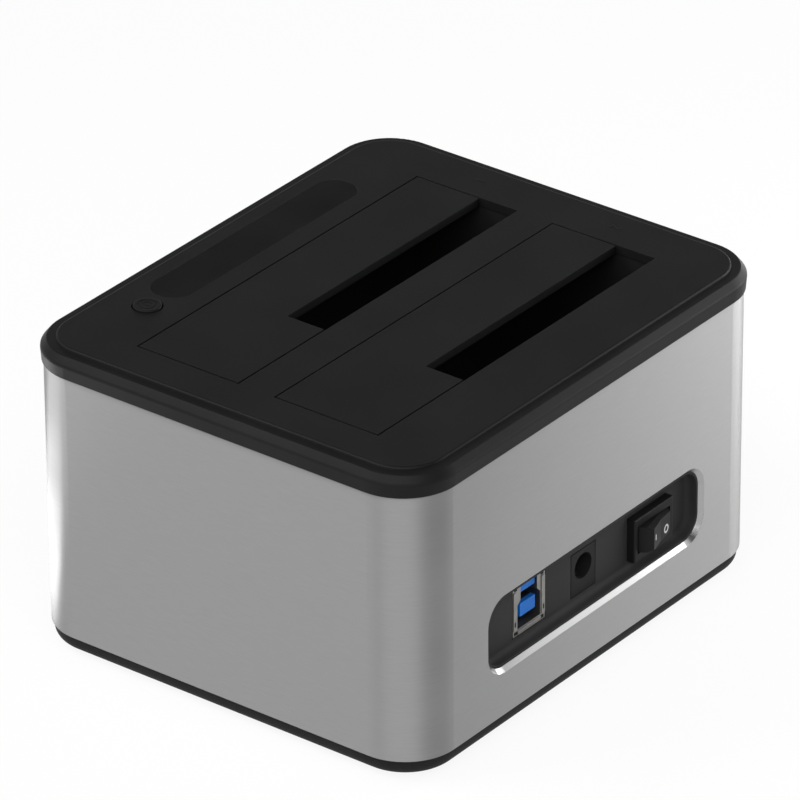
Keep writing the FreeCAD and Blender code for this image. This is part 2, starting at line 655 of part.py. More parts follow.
def make_bay_flap(bay):
    low_x, high_x, low_y, high_y = bay_limits(bay)
    axis_y = hinge_y(bay)
    edge_y = low_y + FLAP_GAP
    flap_under = cover_top - FLAP_THICKNESS
    plate = block(low_x + FLAP_GAP, high_x - FLAP_GAP, edge_y, high_y - FLAP_GAP, flap_under, cover_top)
    solids = [cut_by(plate, [block(*slot_limits(bay), flap_under, cover_top)])]
    for end in ENDS:
        x = bays_x + end * arm_offset
        low_arm = x - ARM_WIDTH / 2
        high_arm = x + ARM_WIDTH / 2
        solids.append(along_x(KNUCKLE_RADIUS, low_arm, high_arm, axis_y, hinge_z))
        solids.append(block(low_arm, high_arm, axis_y, edge_y, hinge_z, plate_under))
        solids.append(block(low_arm, high_arm, edge_y, edge_y + ARM_REACH, hinge_z, flap_under))
    pad_x = bays_x + SPRING_OFFSET - spring_width
    solids.append(block(pad_x - SPRING_PAD_WIDTH / 2, pad_x + SPRING_PAD_WIDTH / 2,
                        edge_y, edge_y + ARM_REACH, plate_under, flap_under))
    bore = along_x(HINGE_PIN_RADIUS + PIN_FIT, low_x, high_x, axis_y, hinge_z)
    return cut_by(fused(solids), [bore])


def make_hinge_pin(bay):
    reach = bearing_offset + BEARING_WIDTH / 2
    return along_x(HINGE_PIN_RADIUS, bays_x - reach, bays_x + reach,
                   hinge_y(bay), hinge_z)


def make_flap_spring(bay):
    """A torsion spring round the pin: one leg lifts the flap, the other bears on the cover."""
    wire = SPRING_WIRE / 2
    helix = Part.makeHelix(SPRING_PITCH, spring_width, spring_radius)
    coil = helix.Edges[0]
    start = coil.valueAt(coil.FirstParameter)
    finish = coil.valueAt(coil.LastParameter)
    start_way = coil.tangentAt(coil.FirstParameter)
    cover_end = start - start_way * SPRING_COVER_LEG
    flap_end = finish + coil.tangentAt(coil.LastParameter) * SPRING_FLAP_LEG
    cover_leg = Part.LineSegment(cover_end, start).toShape()
    flap_leg = Part.LineSegment(finish, flap_end).toShape()
    shell = Part.BRepOffsetAPI.MakePipeShell(Part.Wire([cover_leg, coil, flap_leg]))
    shell.setBiNormalMode(vec(0, 0, 1))
    shell.add(circle_wire(wire, cover_end, start_way))
    shell.build()
    shell.makeSolid()
    spring = shell.shape()
    spring.rotate(vec(0, 0, 0), vec(0, 1, 0), -90)
    spring.translate(vec(bays_x + SPRING_OFFSET, hinge_y(bay), hinge_z))
    return spring


# ------------------------------------------------------------------ button and indicator
def make_led_window():
    return stadium(PANEL_LENGTH - 2 * PANEL_CLEARANCE, PANEL_WIDTH - 2 * PANEL_CLEARANCE,
                   cover_top - PANEL_THICKNESS, cover_top)


def led_places():
    first = panel_centre[0] - LED_PITCH * (LED_COUNT - 1) / 2
    return [(first + LED_PITCH * index, panel_centre[1]) for index in range(LED_COUNT)]


def make_led_baffle():
    margin = BAFFLE_MARGIN - PANEL_LEDGE
    baffle = stadium(PANEL_LENGTH + 2 * margin, PANEL_WIDTH + 2 * margin, indicator_top, plate_under)
    return cut_by(baffle, [upright(LED_HOLE_RADIUS, place, indicator_top, plate_under)
                           for place in led_places()])


def make_indicator_leds():
    length, width, height = LED_SIZE
    return Part.makeCompound([centred_block(*place, length, width, indicator_top, indicator_top + height)
                              for place in led_places()])


def make_indicator_board():
    left, right = (place[0] for place in board_bosses)
    board = block(left - INDICATOR_BOARD_END, right + INDICATOR_BOARD_END, indicator_front, indicator_back,
                  indicator_top - INDICATOR_BOARD_THICKNESS, indicator_top)
    return cut_by(board, [upright(SMALL_SCREW_RADIUS + SCREW_HOLE_GAP, place,
                                  indicator_top - INDICATOR_BOARD_THICKNESS, indicator_top)
                          for place in board_bosses])


def make_tact_switch():
    body = centred_block(*button_centre, TACT_SIZE, TACT_SIZE, indicator_top, tact_top)
    bore_low = tact_top - PLUNGER_DEPTH - BUTTON_TRAVEL - PLUNGER_CLEARANCE
    return body.cut(upright(PLUNGER_RADIUS + PLUNGER_CLEARANCE, button_centre, bore_low, tact_top))


def make_tact_plunger():
    return upright(PLUNGER_RADIUS, button_centre, tact_top - PLUNGER_DEPTH, plunger_top)


def make_clone_button():
    cap_top = cover_top + BUTTON_PROUD
    cap = upright(BUTTON_RADIUS, button_centre, plate_under, cap_top)
    cap = cap.makeFillet(BUTTON_DOME, level_edges(cap, cap_top))
    cap = cap.cut(upright(BUTTON_DISH[0], button_centre, cap_top - BUTTON_DISH[1], cap_top))
    flange_low = plate_under - BUTTON_FLANGE_THICKNESS
    flange = upright(BUTTON_RADIUS + BUTTON_FLANGE, button_centre, flange_low, plate_under)
    stem = upright(BUTTON_STEM_RADIUS, button_centre, plunger_top, flange_low)
    return fused([cap, flange, stem])


# ------------------------------------------------------------------ main board
def make_main_board():
    board = block(-board_length / 2, board_length / 2, board_front, board_rear, board_under, BOARD_TOP)
    holes = []
    for bay in BAYS:
        for place in base_screw_places(bay):
            holes.append(upright(SCREW_RADIUS + SCREW_HOLE_GAP, place, board_under, BOARD_TOP))
    return cut_by(board, holes)


def sata_slots(bay):
    """Low X and length of the signal slot and of the power slot, with their contact counts."""
    total = SATA_SIGNAL_SLOT + SATA_SLOT_BRIDGE + SATA_POWER_SLOT
    low = sata_centre(bay)[0] - total / 2
    power_low = low + SATA_SIGNAL_SLOT + SATA_SLOT_BRIDGE
    return (low, SATA_SIGNAL_SLOT, SATA_SIGNAL_PINS), (power_low, SATA_POWER_SLOT, SATA_POWER_PINS)


def make_sata_receptacle(bay):
    centre_y = sata_centre(bay)[1]
    top = BOARD_TOP + SATA_HEIGHT
    body = centred_block(*sata_centre(bay), SATA_LENGTH, SATA_WIDTH, BOARD_TOP, top)
    half = SATA_SLOT_WIDTH / 2
    return cut_by(body, [block(low, low + length, centre_y - half, centre_y + half,
                               top - SATA_SLOT_DEPTH, top)
                         for low, length, count in sata_slots(bay)])


def make_sata_contacts(bay):
    """Flat spring contacts along one wall of each slot."""
    wall_y = sata_centre(bay)[1] - SATA_SLOT_WIDTH / 2
    top = BOARD_TOP + SATA_HEIGHT
    width, thickness = SATA_CONTACT
    contacts = []
    for low, length, count in sata_slots(bay):
        first = low + length / 2 - SATA_CONTACT_PITCH * (count - 1) / 2
        for index in range(count):
            x = first + SATA_CONTACT_PITCH * index
            contacts.append(block(x - width / 2, x + width / 2, wall_y, wall_y + thickness,
                                  top - SATA_SLOT_DEPTH, top - thickness))
    return Part.makeCompound(contacts)


def make_chip(place_and_size):
    x, y, size_x, size_y = place_and_size
    return centred_block(bays_x + x, bays_y + y, size_x, size_y, BOARD_TOP, BOARD_TOP + CHIP_HEIGHT)


def make_capacitors():
    row_y = front_bay_edge - CAPACITOR_BEFORE_BAY
    return Part.makeCompound([upright(CAPACITOR_RADIUS, (bays_x + offset, row_y),
                                      BOARD_TOP, BOARD_TOP + CAPACITOR_HEIGHT)
                              for offset in CAPACITOR_OFFSETS])


def make_inductor():
    inductor = centred_block(bays_x + INDUCTOR_PLACE[0], front_bay_edge - INDUCTOR_PLACE[1],
                             INDUCTOR_SIZE, INDUCTOR_SIZE, BOARD_TOP, BOARD_TOP + INDUCTOR_HEIGHT)
    uprights = [edge for edge in inductor.Edges if edge.BoundBox.ZLength > INDUCTOR_HEIGHT / 2]
    return inductor.makeFillet(INDUCTOR_CORNER, uprights)


def make_board_header():
    return centred_block(*header_place, HEADER_SIZE[0], HEADER_SIZE[1],
                         BOARD_TOP, BOARD_TOP + HEADER_SIZE[2])


def make_indicator_header():
    under = indicator_top - INDICATOR_BOARD_THICKNESS
    return centred_block(header_place[0], indicator_header_y, HEADER_SIZE[0], HEADER_SIZE[1],
                         under - HEADER_SIZE[2], under)


def make_ribbon_cable():
    """The flat cable that runs up from the main board to the indicator board."""
    x = header_place[0]
    low = BOARD_TOP + HEADER_SIZE[2]
    high = indicator_top - INDICATOR_BOARD_THICKNESS - HEADER_SIZE[2]
    path = bent_path([(x, header_place[1], low), (x, header_place[1], low + RIBBON_STRAIGHT),
                      (x, indicator_header_y, high - RIBBON_STRAIGHT), (x, indicator_header_y, high)])
    half_x = RIBBON_SIZE[0] / 2
    half_y = RIBBON_SIZE[1] / 2
    y = header_place[1]
    corners = [vec(x - half_x, y - half_y, low), vec(x + half_x, y - half_y, low),
               vec(x + half_x, y + half_y, low), vec(x - half_x, y + half_y, low)]
    return swept(Part.makePolygon(corners + corners[:1]), path)


# ------------------------------------------------------------------ rear ports
def make_rear_panel():
    length = WINDOW_LENGTH + 2 * TRAY_BORDER
    height = WINDOW_HEIGHT + 2 * TRAY_BORDER
    plate = facing_rear(rounded_prism(length, height, WINDOW_RADIUS, tray_back, inner_depth / 2),
                        *window_centre)
    rim = facing_rear(inset_prism(WINDOW_LENGTH, WINDOW_HEIGHT, WINDOW_RADIUS, RIM_CLEARANCE,
                                  tray_face, sleeve_back - WINDOW_CHAMFER), *window_centre)
    recess = inset_prism(WINDOW_LENGTH, WINDOW_HEIGHT, WINDOW_RADIUS, RIM_CLEARANCE + RIM_WALL,
                         tray_face, sleeve_back)
    recess = recess.makeFillet(TRAY_FILLET, level_edges(recess, tray_face))
    gap = 2 * PORT_CLEARANCE
    usb_hole = rear_block(usb_x, BOARD_TOP + USB_HEIGHT / 2, USB_WIDTH + gap, USB_HEIGHT + gap,
                          tray_back, tray_face)
    dc_hole = rear_block(dc_x, BOARD_TOP + DC_HEIGHT / 2, DC_WIDTH + gap, DC_HEIGHT + gap,
                         tray_back, tray_face)
    fit = 2 * SWITCH_FIT
    switch_hole = rear_block(switch_x, switch_z, SWITCH_BODY_LENGTH + fit, SWITCH_BODY_HEIGHT + fit,
                             tray_back, tray_face)
    return cut_by(fused([plate, rim]), [facing_rear(recess, *window_centre), usb_hole, dc_hole, switch_hole])


def usb_cavity(low_y, high_y):
    """The stepped opening of a receptacle, with its narrow upper part."""
    half = USB_BODY_WIDTH / 2
    step = USB_STEP_WIDTH / 2
    low = BOARD_TOP + USB_SILL
    shoulder = low + USB_BODY_HEIGHT
    top = shoulder + USB_STEP_HEIGHT
    corner_x = half - step
    outline = [(-half, low), (half, low), (half, shoulder - corner_x), (step, shoulder), (step, top),
               (-step, top), (-step, shoulder), (-half, shoulder - corner_x)]
    return outline_prism([(usb_x + x, low_y, z) for x, z in outline], (0, high_y - low_y, 0))


def make_usb_shell():
    body = block(usb_x - USB_WIDTH / 2, usb_x + USB_WIDTH / 2, tray_face - PORT_DEPTH, tray_face,
                 BOARD_TOP, BOARD_TOP + USB_HEIGHT)
    return body.cut(usb_cavity(tray_face - PORT_DEPTH, tray_face))


def make_usb_insulator():
    """The back of the receptacle with its two contact tongues."""
    back_front = tray_face - USB_CAVITY_DEPTH
    back = usb_cavity(tray_face - PORT_DEPTH, back_front)
    low = BOARD_TOP + USB_SILL
    tip = tray_face - USB_TONGUE_SETBACK
    tongue_z = low + USB_TONGUE_LIFT + USB_TONGUE[1] / 2
    tongue = rear_block(usb_x, tongue_z, *USB_TONGUE, back_front, tip)
    upper_z = low + USB_BODY_HEIGHT + USB_STEP_HEIGHT - USB_SUPER_TONGUE[1] / 2
    upper = rear_block(usb_x, upper_z, *USB_SUPER_TONGUE, back_front, tip)
    return fused([back, tongue, upper])


def make_dc_jack():
    body = block(dc_x - DC_WIDTH / 2, dc_x + DC_WIDTH / 2, tray_face - PORT_DEPTH, tray_face,
                 BOARD_TOP, BOARD_TOP + DC_HEIGHT)
    bore = along_y(DC_BORE_RADIUS, dc_bore_end, tray_face, dc_x, dc_axis_z)
    socket = along_y(DC_PIN_ROOT[0], dc_pin_back, dc_bore_end, dc_x, dc_axis_z)
    return cut_by(body, [bore, socket])


def make_dc_pin():
    pin = along_y(DC_PIN_RADIUS, dc_bore_end, dc_bore_end + DC_PIN_LENGTH, dc_x, dc_axis_z)
    tip = max(pin.Edges, key=lambda edge: edge.BoundBox.YMin)
    root = along_y(DC_PIN_ROOT[0], dc_pin_back, dc_bore_end, dc_x, dc_axis_z)
    return fused([pin.makeChamfer(DC_PIN_TIP, [tip]), root])


# ------------------------------------------------------------------ power switch
def make_switch_housing():
    bezel = rear_block(switch_x, switch_z, BEZEL_LENGTH, BEZEL_HEIGHT, tray_face, bezel_face)
    front_edges = [edge for edge in bezel.Edges if edge.BoundBox.YMin > bezel_face - 1e-4]
    bezel = bezel.makeFillet(BEZEL_FILLET, front_edges)
    body = rear_block(switch_x, switch_z, SWITCH_BODY_LENGTH, SWITCH_BODY_HEIGHT,
                      switch_back, tray_face)
    cavity = rear_block(switch_x, switch_z, 2 * (ROCKER_RADIUS + ROCKER_CLEARANCE), cavity_height,
                        bezel_face - SWITCH_CAVITY_DEPTH, bezel_face)
    socket_reach = cavity_height / 2 + TRUNNION_LENGTH
    sockets = upright(TRUNNION_RADIUS + TRUNNION_FIT, (switch_x, rocker_y),
                      switch_z - socket_reach, switch_z + socket_reach)
    return cut_by(fused([bezel, body]), [cavity, sockets])


def rocker_side_cuts(height, crest_y):
    """Wedges that slope the rocker's two sides towards its face."""
    inward, back = ROCKER_CHAMFER
    reach = ROCKER_RADIUS
    cuts = []
    for side, way in ((0, 1), (height, -1)):
        corners = [(-reach, crest_y - back, side), (-reach, crest_y, side),
                   (-reach, crest_y, side + way * inward)]
        cuts.append(outline_prism(corners, (2 * reach, 0, 0)))
    return cuts


def make_power_rocker():
    """A shallow V face whose round ends are struck from the pivot, resting tipped to one side."""
    slope = math.tan(math.radians(ROCKER_V_ANGLE))
    spread = 1 + slope ** 2
    edge_x = (math.sqrt(spread * ROCKER_RADIUS ** 2 - ROCKER_FACE ** 2) - ROCKER_FACE * slope) / spread
    edge_y = ROCKER_FACE + edge_x * slope
    keel_x = math.sqrt(ROCKER_RADIUS ** 2 - ROCKER_KEEL ** 2)
    right_end = Part.Arc(vec(edge_x, edge_y, 0), vec(ROCKER_RADIUS, 0, 0), vec(keel_x, -ROCKER_KEEL, 0))
    left_end = Part.Arc(vec(-keel_x, -ROCKER_KEEL, 0), vec(-ROCKER_RADIUS, 0, 0),
                        vec(-edge_x, edge_y, 0))
    keel = Part.LineSegment(vec(keel_x, -ROCKER_KEEL, 0), vec(-keel_x, -ROCKER_KEEL, 0))
    left_face = Part.LineSegment(vec(-edge_x, edge_y, 0), vec(0, ROCKER_FACE, 0))
    right_face = Part.LineSegment(vec(0, ROCKER_FACE, 0), vec(edge_x, edge_y, 0))
    outline = [curve.toShape() for curve in (right_end, keel, left_end, left_face, right_face)]
    height = cavity_height - 2 * ROCKER_CLEARANCE
    paddle = Part.Face(Part.Wire(outline)).extrude(vec(0, 0, height))
    pin_reach = cavity_height / 2 + TRUNNION_LENGTH - TRUNNION_FIT
    trunnions = upright(TRUNNION_RADIUS, (0, 0), height / 2 - pin_reach, height / 2 + pin_reach)
    rocker = cut_by(fused([paddle, trunnions]), rocker_side_cuts(height, edge_y))
    rocker.rotate(vec(0, 0, 0), vec(0, 0, 1), ROCKER_TILT)
    rocker.translate(vec(switch_x, rocker_y, switch_z - height / 2))
    return rocker


def terminal_xs():
    return [switch_x + end * TERMINAL_PITCH / 2 for end in ENDS]


def make_switch_terminals():
    thickness, height, length = TERMINAL_SIZE
    return Part.makeCompound([rear_block(x, switch_z, thickness, height, switch_back - length, switch_back)
                              for x in terminal_xs()])


def make_switch_leads():
    """Two short leads from the terminals' lower edges down to the main board."""
    y = switch_back - TERMINAL_SIZE[2] / 2
    top = switch_z - TERMINAL_SIZE[1] / 2
    fall = top - BOARD_TOP
    leads = []
    for x in terminal_xs():
        path = bent_path([(x, y, top), (x, y, top - fall / 4),
                          (x - LEAD_SHIFT, y, BOARD_TOP + fall / 4), (x - LEAD_SHIFT, y, BOARD_TOP)])
        leads.append(swept(circle_wire(LEAD_RADIUS, vec(x, y, top), vec(0, 0, 1)), path))
    return Part.makeCompound(leads)


# ------------------------------------------------------------------ fasteners
def make_base_screws():
    length = BOARD_TOP + PILOT_DEPTH - SCREW_TIP_GAP - SCREW_SEAT_HEIGHT
    return Part.makeCompound([pan_screw(place, SCREW_SEAT_HEIGHT, SCREW_RADIUS, length,
                                        SCREW_HEAD_RADIUS, SCREW_HEAD_HEIGHT)
                              for bay in BAYS for place in base_screw_places(bay)])


def small_screw(place, seat_z, grip):
    length = grip + SMALL_SCREW_BITE - SMALL_SCREW_TIP_GAP
    return pan_screw(place, seat_z, SMALL_SCREW_RADIUS, length, SMALL_HEAD_RADIUS, SMALL_HEAD_HEIGHT)


def make_well_screws():
    seat = plate_under - EAR_DROP - EAR_THICKNESS
    return Part.makeCompound([small_screw(place, seat, EAR_THICKNESS)
                              for bay in BAYS for place in ear_centres(bay)])


def make_board_screws():
    seat = indicator_top - INDICATOR_BOARD_THICKNESS
    return Part.makeCompound([small_screw(place, seat, INDICATOR_BOARD_THICKNESS)
                              for place in board_bosses])


# ------------------------------------------------------------------ all the pieces
def build():
    nodes = {
        "top_cover": make_top_cover(),
        "outer_sleeve": make_outer_sleeve(),
        "base_cover": make_base_cover(),
        "rear_panel": make_rear_panel(),
        "led_window": make_led_window(),
        "led_baffle": make_led_baffle(),
        "indicator_leds": make_indicator_leds(),
        "indicator_board": make_indicator_board(),
        "tact_switch": make_tact_switch(),
        "tact_plunger": make_tact_plunger(),
        "clone_button": make_clone_button(),
        "main_board": make_main_board(),
        "bridge_chip": make_chip(BRIDGE_CHIP),
        "memory_chip": make_chip(MEMORY_CHIP),
        "crystal": make_chip(CRYSTAL),
        "capacitors": make_capacitors(),
        "inductor": make_inductor(),
        "board_header": make_board_header(),
        "indicator_header": make_indicator_header(),
        "ribbon_cable": make_ribbon_cable(),
        "usb_shell": make_usb_shell(),
        "usb_insulator": make_usb_insulator(),
        "dc_jack_body": make_dc_jack(),
        "dc_centre_pin": make_dc_pin(),
        "power_switch_housing": make_switch_housing(),
        "power_rocker": make_power_rocker(),
        "power_switch_terminals": make_switch_terminals(),
        "power_switch_leads": make_switch_leads(),
        "base_screws": make_base_screws(),
        "well_screws": make_well_screws(),
        "indicator_board_screws": make_board_screws(),
    }
    for name, place in foot_places().items():
        nodes["foot_" + name] = make_foot(place)
    for bay in BAYS:
        nodes[bay + "_bay_well"] = make_bay_well(bay)
        nodes[bay + "_bay_flap"] = make_bay_flap(bay)
        nodes[bay + "_hinge_pin"] = make_hinge_pin(bay)
        nodes[bay + "_flap_spring"] = make_flap_spring(bay)
        nodes[bay + "_sata_receptacle"] = make_sata_receptacle(bay)
        nodes[bay + "_sata_contacts"] = make_sata_contacts(bay)
    return nodes


os.makedirs("parts", exist_ok=True)
for node_name, shape in build().items():
    shape.exportStep("parts/" + node_name + ".step")
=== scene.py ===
import json
import math

import bmesh
import bpy
from mathutils import Matrix, Vector
from mathutils.bvhtree import BVHTree


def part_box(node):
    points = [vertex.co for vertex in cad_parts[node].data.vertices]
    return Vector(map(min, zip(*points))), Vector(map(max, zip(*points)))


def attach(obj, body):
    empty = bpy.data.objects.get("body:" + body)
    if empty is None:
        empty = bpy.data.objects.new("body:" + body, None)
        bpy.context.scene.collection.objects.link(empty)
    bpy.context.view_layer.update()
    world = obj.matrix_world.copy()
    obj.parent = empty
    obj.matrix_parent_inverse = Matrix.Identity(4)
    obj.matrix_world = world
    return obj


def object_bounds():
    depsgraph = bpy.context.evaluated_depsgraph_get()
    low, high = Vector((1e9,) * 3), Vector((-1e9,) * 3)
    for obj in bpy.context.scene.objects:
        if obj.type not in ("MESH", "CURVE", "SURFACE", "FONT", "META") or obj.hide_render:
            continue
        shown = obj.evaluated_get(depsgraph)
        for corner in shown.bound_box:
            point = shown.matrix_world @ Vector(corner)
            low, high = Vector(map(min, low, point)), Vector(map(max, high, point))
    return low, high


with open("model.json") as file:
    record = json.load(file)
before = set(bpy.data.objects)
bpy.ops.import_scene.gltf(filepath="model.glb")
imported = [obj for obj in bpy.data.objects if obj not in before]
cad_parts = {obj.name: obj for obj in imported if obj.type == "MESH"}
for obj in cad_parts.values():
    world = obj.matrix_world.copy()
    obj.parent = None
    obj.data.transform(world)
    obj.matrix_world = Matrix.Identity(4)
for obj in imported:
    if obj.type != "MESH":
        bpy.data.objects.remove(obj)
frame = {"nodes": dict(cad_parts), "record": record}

# The looks of a two-bay drive duplicator. Metres; +Z up; the ports face +Y, and the copy button
# and the indicator window lie toward -Y.
MM = 0.001
cad_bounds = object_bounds()
scene = bpy.context.scene
scene.view_settings.view_transform = "Standard"
CHAMFER_DEPTH = 1.0 * MM      # of the cut edge round the sleeve's port window
NOISE_RANGE = (0.3, 0.7)      # what a noise mostly keeps to
TINT_STOPS = (0.32, 0.68)     # where a tint turns from dark to light
BEVEL_SAMPLES = 6


# ------------------------------------------------------------------ node helpers
def add(tree, kind, inputs=None, **settings):
    made = tree.nodes.new(kind)
    for key, value in settings.items():
        setattr(made, key, value)
    for key, value in (inputs or {}).items():
        made.inputs[key].default_value = value
    return made


def place_in_mm(tree, stretch=(1, 1, 1)):
    """The point on the surface in the object's own frame, in millimetres, stretched on the axes."""
    coordinates = add(tree, "ShaderNodeTexCoord")
    mapping = add(tree, "ShaderNodeMapping", {"Scale": [value / MM for value in stretch]})
    tree.links.new(coordinates.outputs["Object"], mapping.inputs["Vector"])
    return mapping.outputs["Vector"]


def noise(tree, place, per_mm, detail=3.0, roughness=0.5):
    made = add(tree, "ShaderNodeTexNoise",
               {"Scale": per_mm, "Detail": detail, "Roughness": roughness})
    tree.links.new(place, made.inputs["Vector"])
    return made.outputs["Fac"]


def spread(tree, factor, low, high):
    """Maps the middle of a noise to a range of numbers."""
    made = add(tree, "ShaderNodeMapRange", {"From Min": NOISE_RANGE[0], "From Max": NOISE_RANGE[1],
                                            "To Min": low, "To Max": high})
    tree.links.new(factor, made.inputs["Value"])
    return made.outputs["Result"]


def tint(tree, factor, colour, darker, lighter):
    """A colour that runs from a darker to a lighter shade of itself."""
    made = add(tree, "ShaderNodeValToRGB")
    for stop, position, amount in zip(made.color_ramp.elements, TINT_STOPS, (darker, lighter)):
        stop.position = position
        stop.color = (*(min(1.0, channel * amount) for channel in colour), 1)
    tree.links.new(factor, made.inputs["Fac"])
    return made.outputs["Color"]


def bump(tree, height, depth_mm, below=None):
    made = add(tree, "ShaderNodeBump", {"Strength": 1.0, "Distance": depth_mm * MM})
    tree.links.new(height, made.inputs["Height"])
    if below is not None:
        tree.links.new(below, made.inputs["Normal"])
    return made.outputs["Normal"]


def rounded_edges(tree, radius_mm):
    made = add(tree, "ShaderNodeBevel", {"Radius": radius_mm * MM}, samples=BEVEL_SAMPLES)
    return made.outputs["Normal"]


def new_finish(name, **sockets):
    material = bpy.data.materials.new(name)
    material.use_nodes = True
    shader = material.node_tree.nodes["Principled BSDF"]
    for key, value in sockets.items():
        shader.inputs[key.replace("_", " ")].default_value = value
    return material, material.node_tree, shader


def moulded(name, colour, roughness, specular=0.5, grain_depth=0.012, edge=0.15, mottle=0.12):
    """Injection-moulded plastic: fine spark-eroded grain, faint cloudiness and softened edges."""
    material, tree, shader = new_finish(name, Specular_IOR_Level=specular)
    place = place_in_mm(tree)
    cloud = noise(tree, place, per_mm=0.06, detail=4.0)
    grain = noise(tree, place, per_mm=5.0, detail=2.0, roughness=0.6)
    tree.links.new(tint(tree, cloud, colour, 1 - mottle, 1 + mottle), shader.inputs["Base Color"])
    tree.links.new(spread(tree, grain, roughness - 0.05, roughness + 0.05),
                   shader.inputs["Roughness"])
    tree.links.new(bump(tree, grain, grain_depth, rounded_edges(tree, edge)),
                   shader.inputs["Normal"])
    return material


def near(tree, value, middle, reach):
    """One where a value lies within reach of a middle, and zero elsewhere."""
    made = add(tree, "ShaderNodeMath", {1: middle, 2: reach}, operation="COMPARE")
    tree.links.new(value, made.inputs[0])
    return made.outputs[0]


def bright_cut_mask(tree):
    """The chamfer round the port window, which lies just inside the sleeve's rear face; it gets the
    polished cut's lower roughness and a lighter colour that is partly a painted highlight.
    """
    coordinates = add(tree, "ShaderNodeTexCoord")
    split = add(tree, "ShaderNodeSeparateXYZ")
    tree.links.new(coordinates.outputs["Object"], split.inputs[0])
    sleeve_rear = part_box("outer_sleeve")[1].y
    panel_low, panel_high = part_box("rear_panel")
    in_depth = near(tree, split.outputs["Y"], sleeve_rear - CHAMFER_DEPTH / 2,
                    0.49 * CHAMFER_DEPTH)
    in_length = near(tree, split.outputs["X"], (panel_low.x + panel_high.x) / 2,
                     (panel_high.x - panel_low.x) / 2)
    both = add(tree, "ShaderNodeMath", operation="MULTIPLY")
    tree.links.new(in_depth, both.inputs[0])
    tree.links.new(in_length, both.inputs[1])
    return both.outputs[0]


def brushed_aluminium(name, colour, cut_and_highlight_colour):
    """Anodised sheet, brushed level round the sleeve; the port window's cut edge is polished and
    painted lighter, partly a painted highlight.
    """
    material, tree, shader = new_finish(name, Metallic=1.0, Anisotropic=0.85,
                                        Anisotropic_Rotation=0.25)
    level = place_in_mm(tree, stretch=(0.02, 0.02, 1))
    lines = noise(tree, level, per_mm=9.0, detail=4.0, roughness=0.65)
    cloud = noise(tree, place_in_mm(tree, stretch=(0.3, 0.3, 1)), per_mm=0.05, detail=3.0)
    mask = bright_cut_mask(tree)
    paint = add(tree, "ShaderNodeMix", data_type="RGBA")
    tree.links.new(mask, paint.inputs["Factor"])
    tree.links.new(tint(tree, lines, colour, darker=0.955, lighter=1.045), paint.inputs[6])
    # The cut edge's lighter colour is partly a painted highlight on the polished chamfer.
    tree.links.new(tint(tree, lines, cut_and_highlight_colour, darker=0.96, lighter=1.04), paint.inputs[7])
    tree.links.new(paint.outputs[2], shader.inputs["Base Color"])
    polish = add(tree, "ShaderNodeMix", data_type="FLOAT")
    tree.links.new(mask, polish.inputs["Factor"])
    tree.links.new(spread(tree, cloud, low=0.47, high=0.53), polish.inputs[2])
    tree.links.new(spread(tree, cloud, low=0.26, high=0.32), polish.inputs[3])
    tree.links.new(polish.outputs[0], shader.inputs["Roughness"])
    tangent = add(tree, "ShaderNodeTangent", direction_type="RADIAL", axis="Z")
    tree.links.new(tangent.outputs["Tangent"], shader.inputs["Tangent"])
    tree.links.new(bump(tree, lines, depth_mm=0.0012, below=rounded_edges(tree, radius_mm=0.12)),
                   shader.inputs["Normal"])
    return material


def plain_metal(name, colour, roughness, scratch=0.003):
    """Plated or drawn metal with fine scuffs and a slightly uneven polish."""
    material, tree, shader = new_finish(name, Metallic=1.0)
    cloud = noise(tree, place_in_mm(tree), per_mm=0.5, detail=4.0)
    drawn = place_in_mm(tree, stretch=(1, 6, 1))
    scuffs = noise(tree, drawn, per_mm=2.5, detail=4.0, roughness=0.7)
    tree.links.new(tint(tree, cloud, colour, darker=0.88, lighter=1.08),
                   shader.inputs["Base Color"])
    tree.links.new(spread(tree, scuffs, roughness - 0.08, roughness + 0.08),
                   shader.inputs["Roughness"])
    tree.links.new(bump(tree, scuffs, scratch, rounded_edges(tree, radius_mm=0.08)),
                   shader.inputs["Normal"])
    return material


def polished_lens(name, colour):
    """Smoked acrylic with a faint orange peel."""
    material, tree, shader = new_finish(name, Specular_IOR_Level=0.12)
    place = place_in_mm(tree)
    peel = noise(tree, place, per_mm=0.35, detail=1.0)
    haze = noise(tree, place, per_mm=0.08, detail=3.0)
    tree.links.new(tint(tree, haze, colour, darker=0.9, lighter=1.1), shader.inputs["Base Color"])
    tree.links.new(spread(tree, haze, low=0.2, high=0.26), shader.inputs["Roughness"])
    tree.links.new(bump(tree, peel, depth_mm=0.004, below=rounded_edges(tree, radius_mm=0.1)),
                   shader.inputs["Normal"])
    return material


def circuit_board(name, colour):
    """Solder mask over copper tracks that run square to each other."""
    material, tree, shader = new_finish(name, Specular_IOR_Level=0.5)
    place = place_in_mm(tree)
    tracks = add(tree, "ShaderNodeTexBrick",
                 {"Scale": 0.35, "Mortar Size": 0.03, "Color1": (0, 0, 0, 1),
                  "Color2": (0, 0, 0, 1), "Mortar": (1, 1, 1, 1)})
    tree.links.new(place, tracks.inputs["Vector"])
    tree.links.new(tint(tree, tracks.outputs["Color"], colour, darker=1.0, lighter=1.7),
                   shader.inputs["Base Color"])
    cloud = noise(tree, place, per_mm=0.4)
    tree.links.new(spread(tree, cloud, low=0.28, high=0.4), shader.inputs["Roughness"])
    tree.links.new(bump(tree, tracks.outputs["Color"], depth_mm=0.02), shader.inputs["Normal"])
    return material


